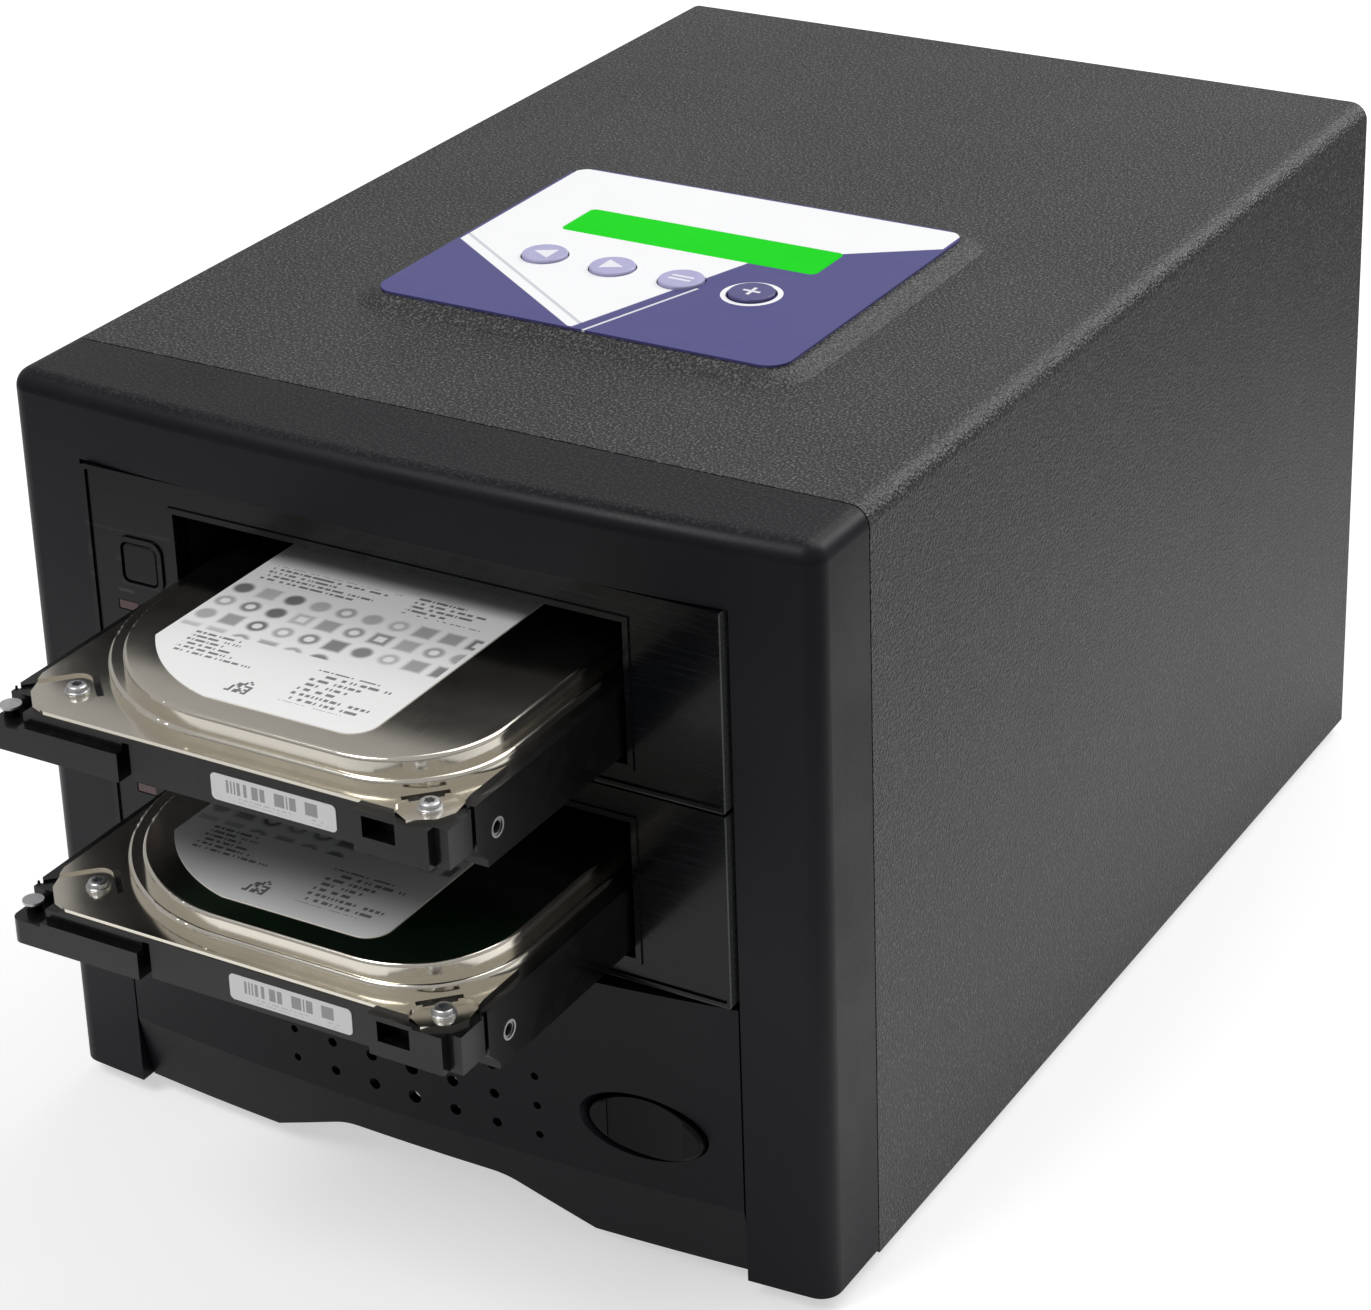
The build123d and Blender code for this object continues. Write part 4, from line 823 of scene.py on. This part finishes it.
def add_round_label(level):
    """Top label of a drive, its front left corner cut round along the disks."""
    node = "drive_label_" + level
    low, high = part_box(node)
    right = LABEL_WIDTH - LABEL_CORNER
    outline = arc(DISK_MIDDLE, DISK_ARC_RADIUS, 215.4, 257.0, 16)
    outline += arc((right, LABEL_CORNER), LABEL_CORNER, -90, 0, 8)
    outline += [(LABEL_WIDTH, LABEL_LENGTH), (0.0, LABEL_LENGTH)]

    def place(x, y, side):
        return low[0] + x * MM, low[1] + max(y, 0.0) * MM, (low[2], high[2])[side]

    made = plate(outline, place)
    name = "drive_round_label_" + level
    add_piece(name, made, "hard_drive_" + level, "label_paper", [node])


def add_end_label(level):
    """Small label on a drive's front wall, with its corners cut round."""
    node = "drive_end_label_" + level
    low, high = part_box(node)
    corner = END_LABEL_CORNER
    right = (high[0] - low[0]) / MM + END_LABEL_EXTRA - corner
    top = (high[2] - low[2]) / MM - corner
    middles = ((right, corner, -90), (right, top, 0), (corner, top, 90), (corner, corner, 180))
    outline = []
    for x, z, start in middles:
        outline += arc((x, z), corner, start, start + 90, 6)

    def place(x, z, side):
        return low[0] + x * MM, (low[1], high[1])[side], low[2] + z * MM

    made = plate(outline, place)
    name = "drive_rounded_end_label_" + level
    add_piece(name, made, "hard_drive_" + level, "label_paper", [node], own_finish[node])


for level in ("lower", "upper"):
    add_threads(level)
    add_machined_faces(level)
    add_lid_screws(level)
    add_round_label(level)
    add_end_label(level)


def make_floor():
    """Large pale floor that keeps its shadow; the camera and near reflections see it white, except
    close beside the case, where reflections see a painted contact shadow.
    """
    mesh = bpy.data.meshes.new("floor")
    corners = [(x * FLOOR_HALF, y * FLOOR_HALF, 0) for x, y in ((-1, -1), (1, -1), (1, 1), (-1, 1))]
    mesh.from_pydata(corners, [], [(0, 1, 2, 3)])
    floor = bpy.data.objects.new("floor", mesh)
    bpy.context.collection.objects.link(floor)
    s = Shader("pale_floor", roughness=0.85)
    s.set("Base Color", s.mix(s.noise(400, 2), (0.50, 0.50, 0.50), (0.52, 0.52, 0.52)))
    camera, glossy, through = (
        s.node("ShaderNodeLightPath", f"Is {kind} Ray")
        for kind in ("Camera", "Glossy", "Transmission")
    )
    x, y, _ = s.axes()
    away = ((x - FADE_MIDDLE_X) ** 2 + y * y) ** 0.5
    beside = (x.size() + cover_low[0]).most(y.size() - cover_high[1])
    far = away.step(*FAR_FADE) * FAR_SHARE
    # Painted contact shadow: reflections of the floor close beside the case get a darker colour
    fade = far.most(beside.step(*CONTACT_SHADOW_FADE) * CONTACT_SHADOW_SHARE) * glossy
    seen = s.node("ShaderNodeBsdfPrincipled", "BSDF", Roughness=0.85)
    inputs = seen.output.node.inputs
    s.feed(inputs["Base Color"], s.mix(fade, (0.63, 0.63, 0.63), (0.1, 0.1, 0.1)))
    s.feed(inputs["Emission Color"], s.mix(fade, (1.0, 1.0, 1.0), (0.1, 0.1, 0.1)))
    s.feed(inputs["Emission Strength"], 0.55)
    rays = camera.most(glossy).most(through)
    plain = Socket(s, s.surface.outputs["BSDF"])
    shown = s.node("ShaderNodeMixShader", i0=rays, i1=plain, i2=seen)
    s.feed(s.tree.nodes["Material Output"].inputs["Surface"], shown)
    mesh.materials.append(s.material)


def make_world():
    """White to the camera, paler in reflections, a soft sky for the rest."""
    world = bpy.data.worlds.new("studio")
    world.use_nodes = True
    bpy.context.scene.world = world
    tree = world.node_tree
    tree.nodes.clear()
    path = tree.nodes.new("ShaderNodeLightPath")
    out = tree.nodes.new("ShaderNodeOutputWorld")
    shown = None
    for rays, strength in SKY:
        sky = tree.nodes.new("ShaderNodeBackground")
        sky.inputs["Color"].default_value = (1.0, 1.0, 1.0, 1.0)
        sky.inputs["Strength"].default_value = strength
        if shown:
            mix = tree.nodes.new("ShaderNodeMixShader")
            tree.links.new(path.outputs[rays], mix.inputs["Fac"])
            tree.links.new(shown, mix.inputs[1])
            tree.links.new(sky.outputs[0], mix.inputs[2])
            shown = mix.outputs[0]
        else:
            shown = sky.outputs[0]
    tree.links.new(shown, out.inputs[0])


def make_lamp(name, place, target, width, height, power):
    """Soft rectangular lamp that faces its target."""
    data = bpy.data.lights.new(name, "AREA")
    data.shape = "RECTANGLE"
    data.size = width
    data.size_y = height
    data.energy = power
    lamp = bpy.data.objects.new(name, data)
    bpy.context.collection.objects.link(lamp)
    lamp.location = place
    lamp.rotation_euler = (Vector(target) - Vector(place)).to_track_quat("-Z", "Y").to_euler()


def make_camera():
    """Camera at the photograph's viewing angle."""
    yaw, pitch, roll = (math.radians(angle) for angle in (YAW, PITCH, ROLL))
    forward = math.cos(pitch)
    ahead = Vector((-math.sin(yaw) * forward, math.cos(yaw) * forward, -math.sin(pitch)))
    level = Vector((math.cos(yaw), math.sin(yaw), 0))
    upright = level.cross(ahead)
    right = level * math.cos(roll) + upright * math.sin(roll)
    up = upright * math.cos(roll) - level * math.sin(roll)
    data = bpy.data.cameras.new("camera")
    data.sensor_width = SENSOR_WIDTH
    data.lens = FOCAL_LENGTH / PHOTO_WIDTH * SENSOR_WIDTH
    data.shift_x = SHIFT_X / PHOTO_WIDTH
    data.shift_y = SHIFT_Y / PHOTO_WIDTH
    data.clip_end = 50
    camera = bpy.data.objects.new("camera", data)
    bpy.context.collection.objects.link(camera)
    x, y, z = CAMERA_FROM_CASE_FRONT
    turn = Matrix((right, up, -ahead)).transposed().to_4x4()
    camera.matrix_world = Matrix.Translation((x, CASE_FRONT + y, z)) @ turn
    bpy.context.scene.camera = camera


bpy.context.scene.view_settings.view_transform = "Standard"
make_camera()
make_world()
make_floor()
for name, lamp in LAMPS.items():
    make_lamp(name, *lamp)
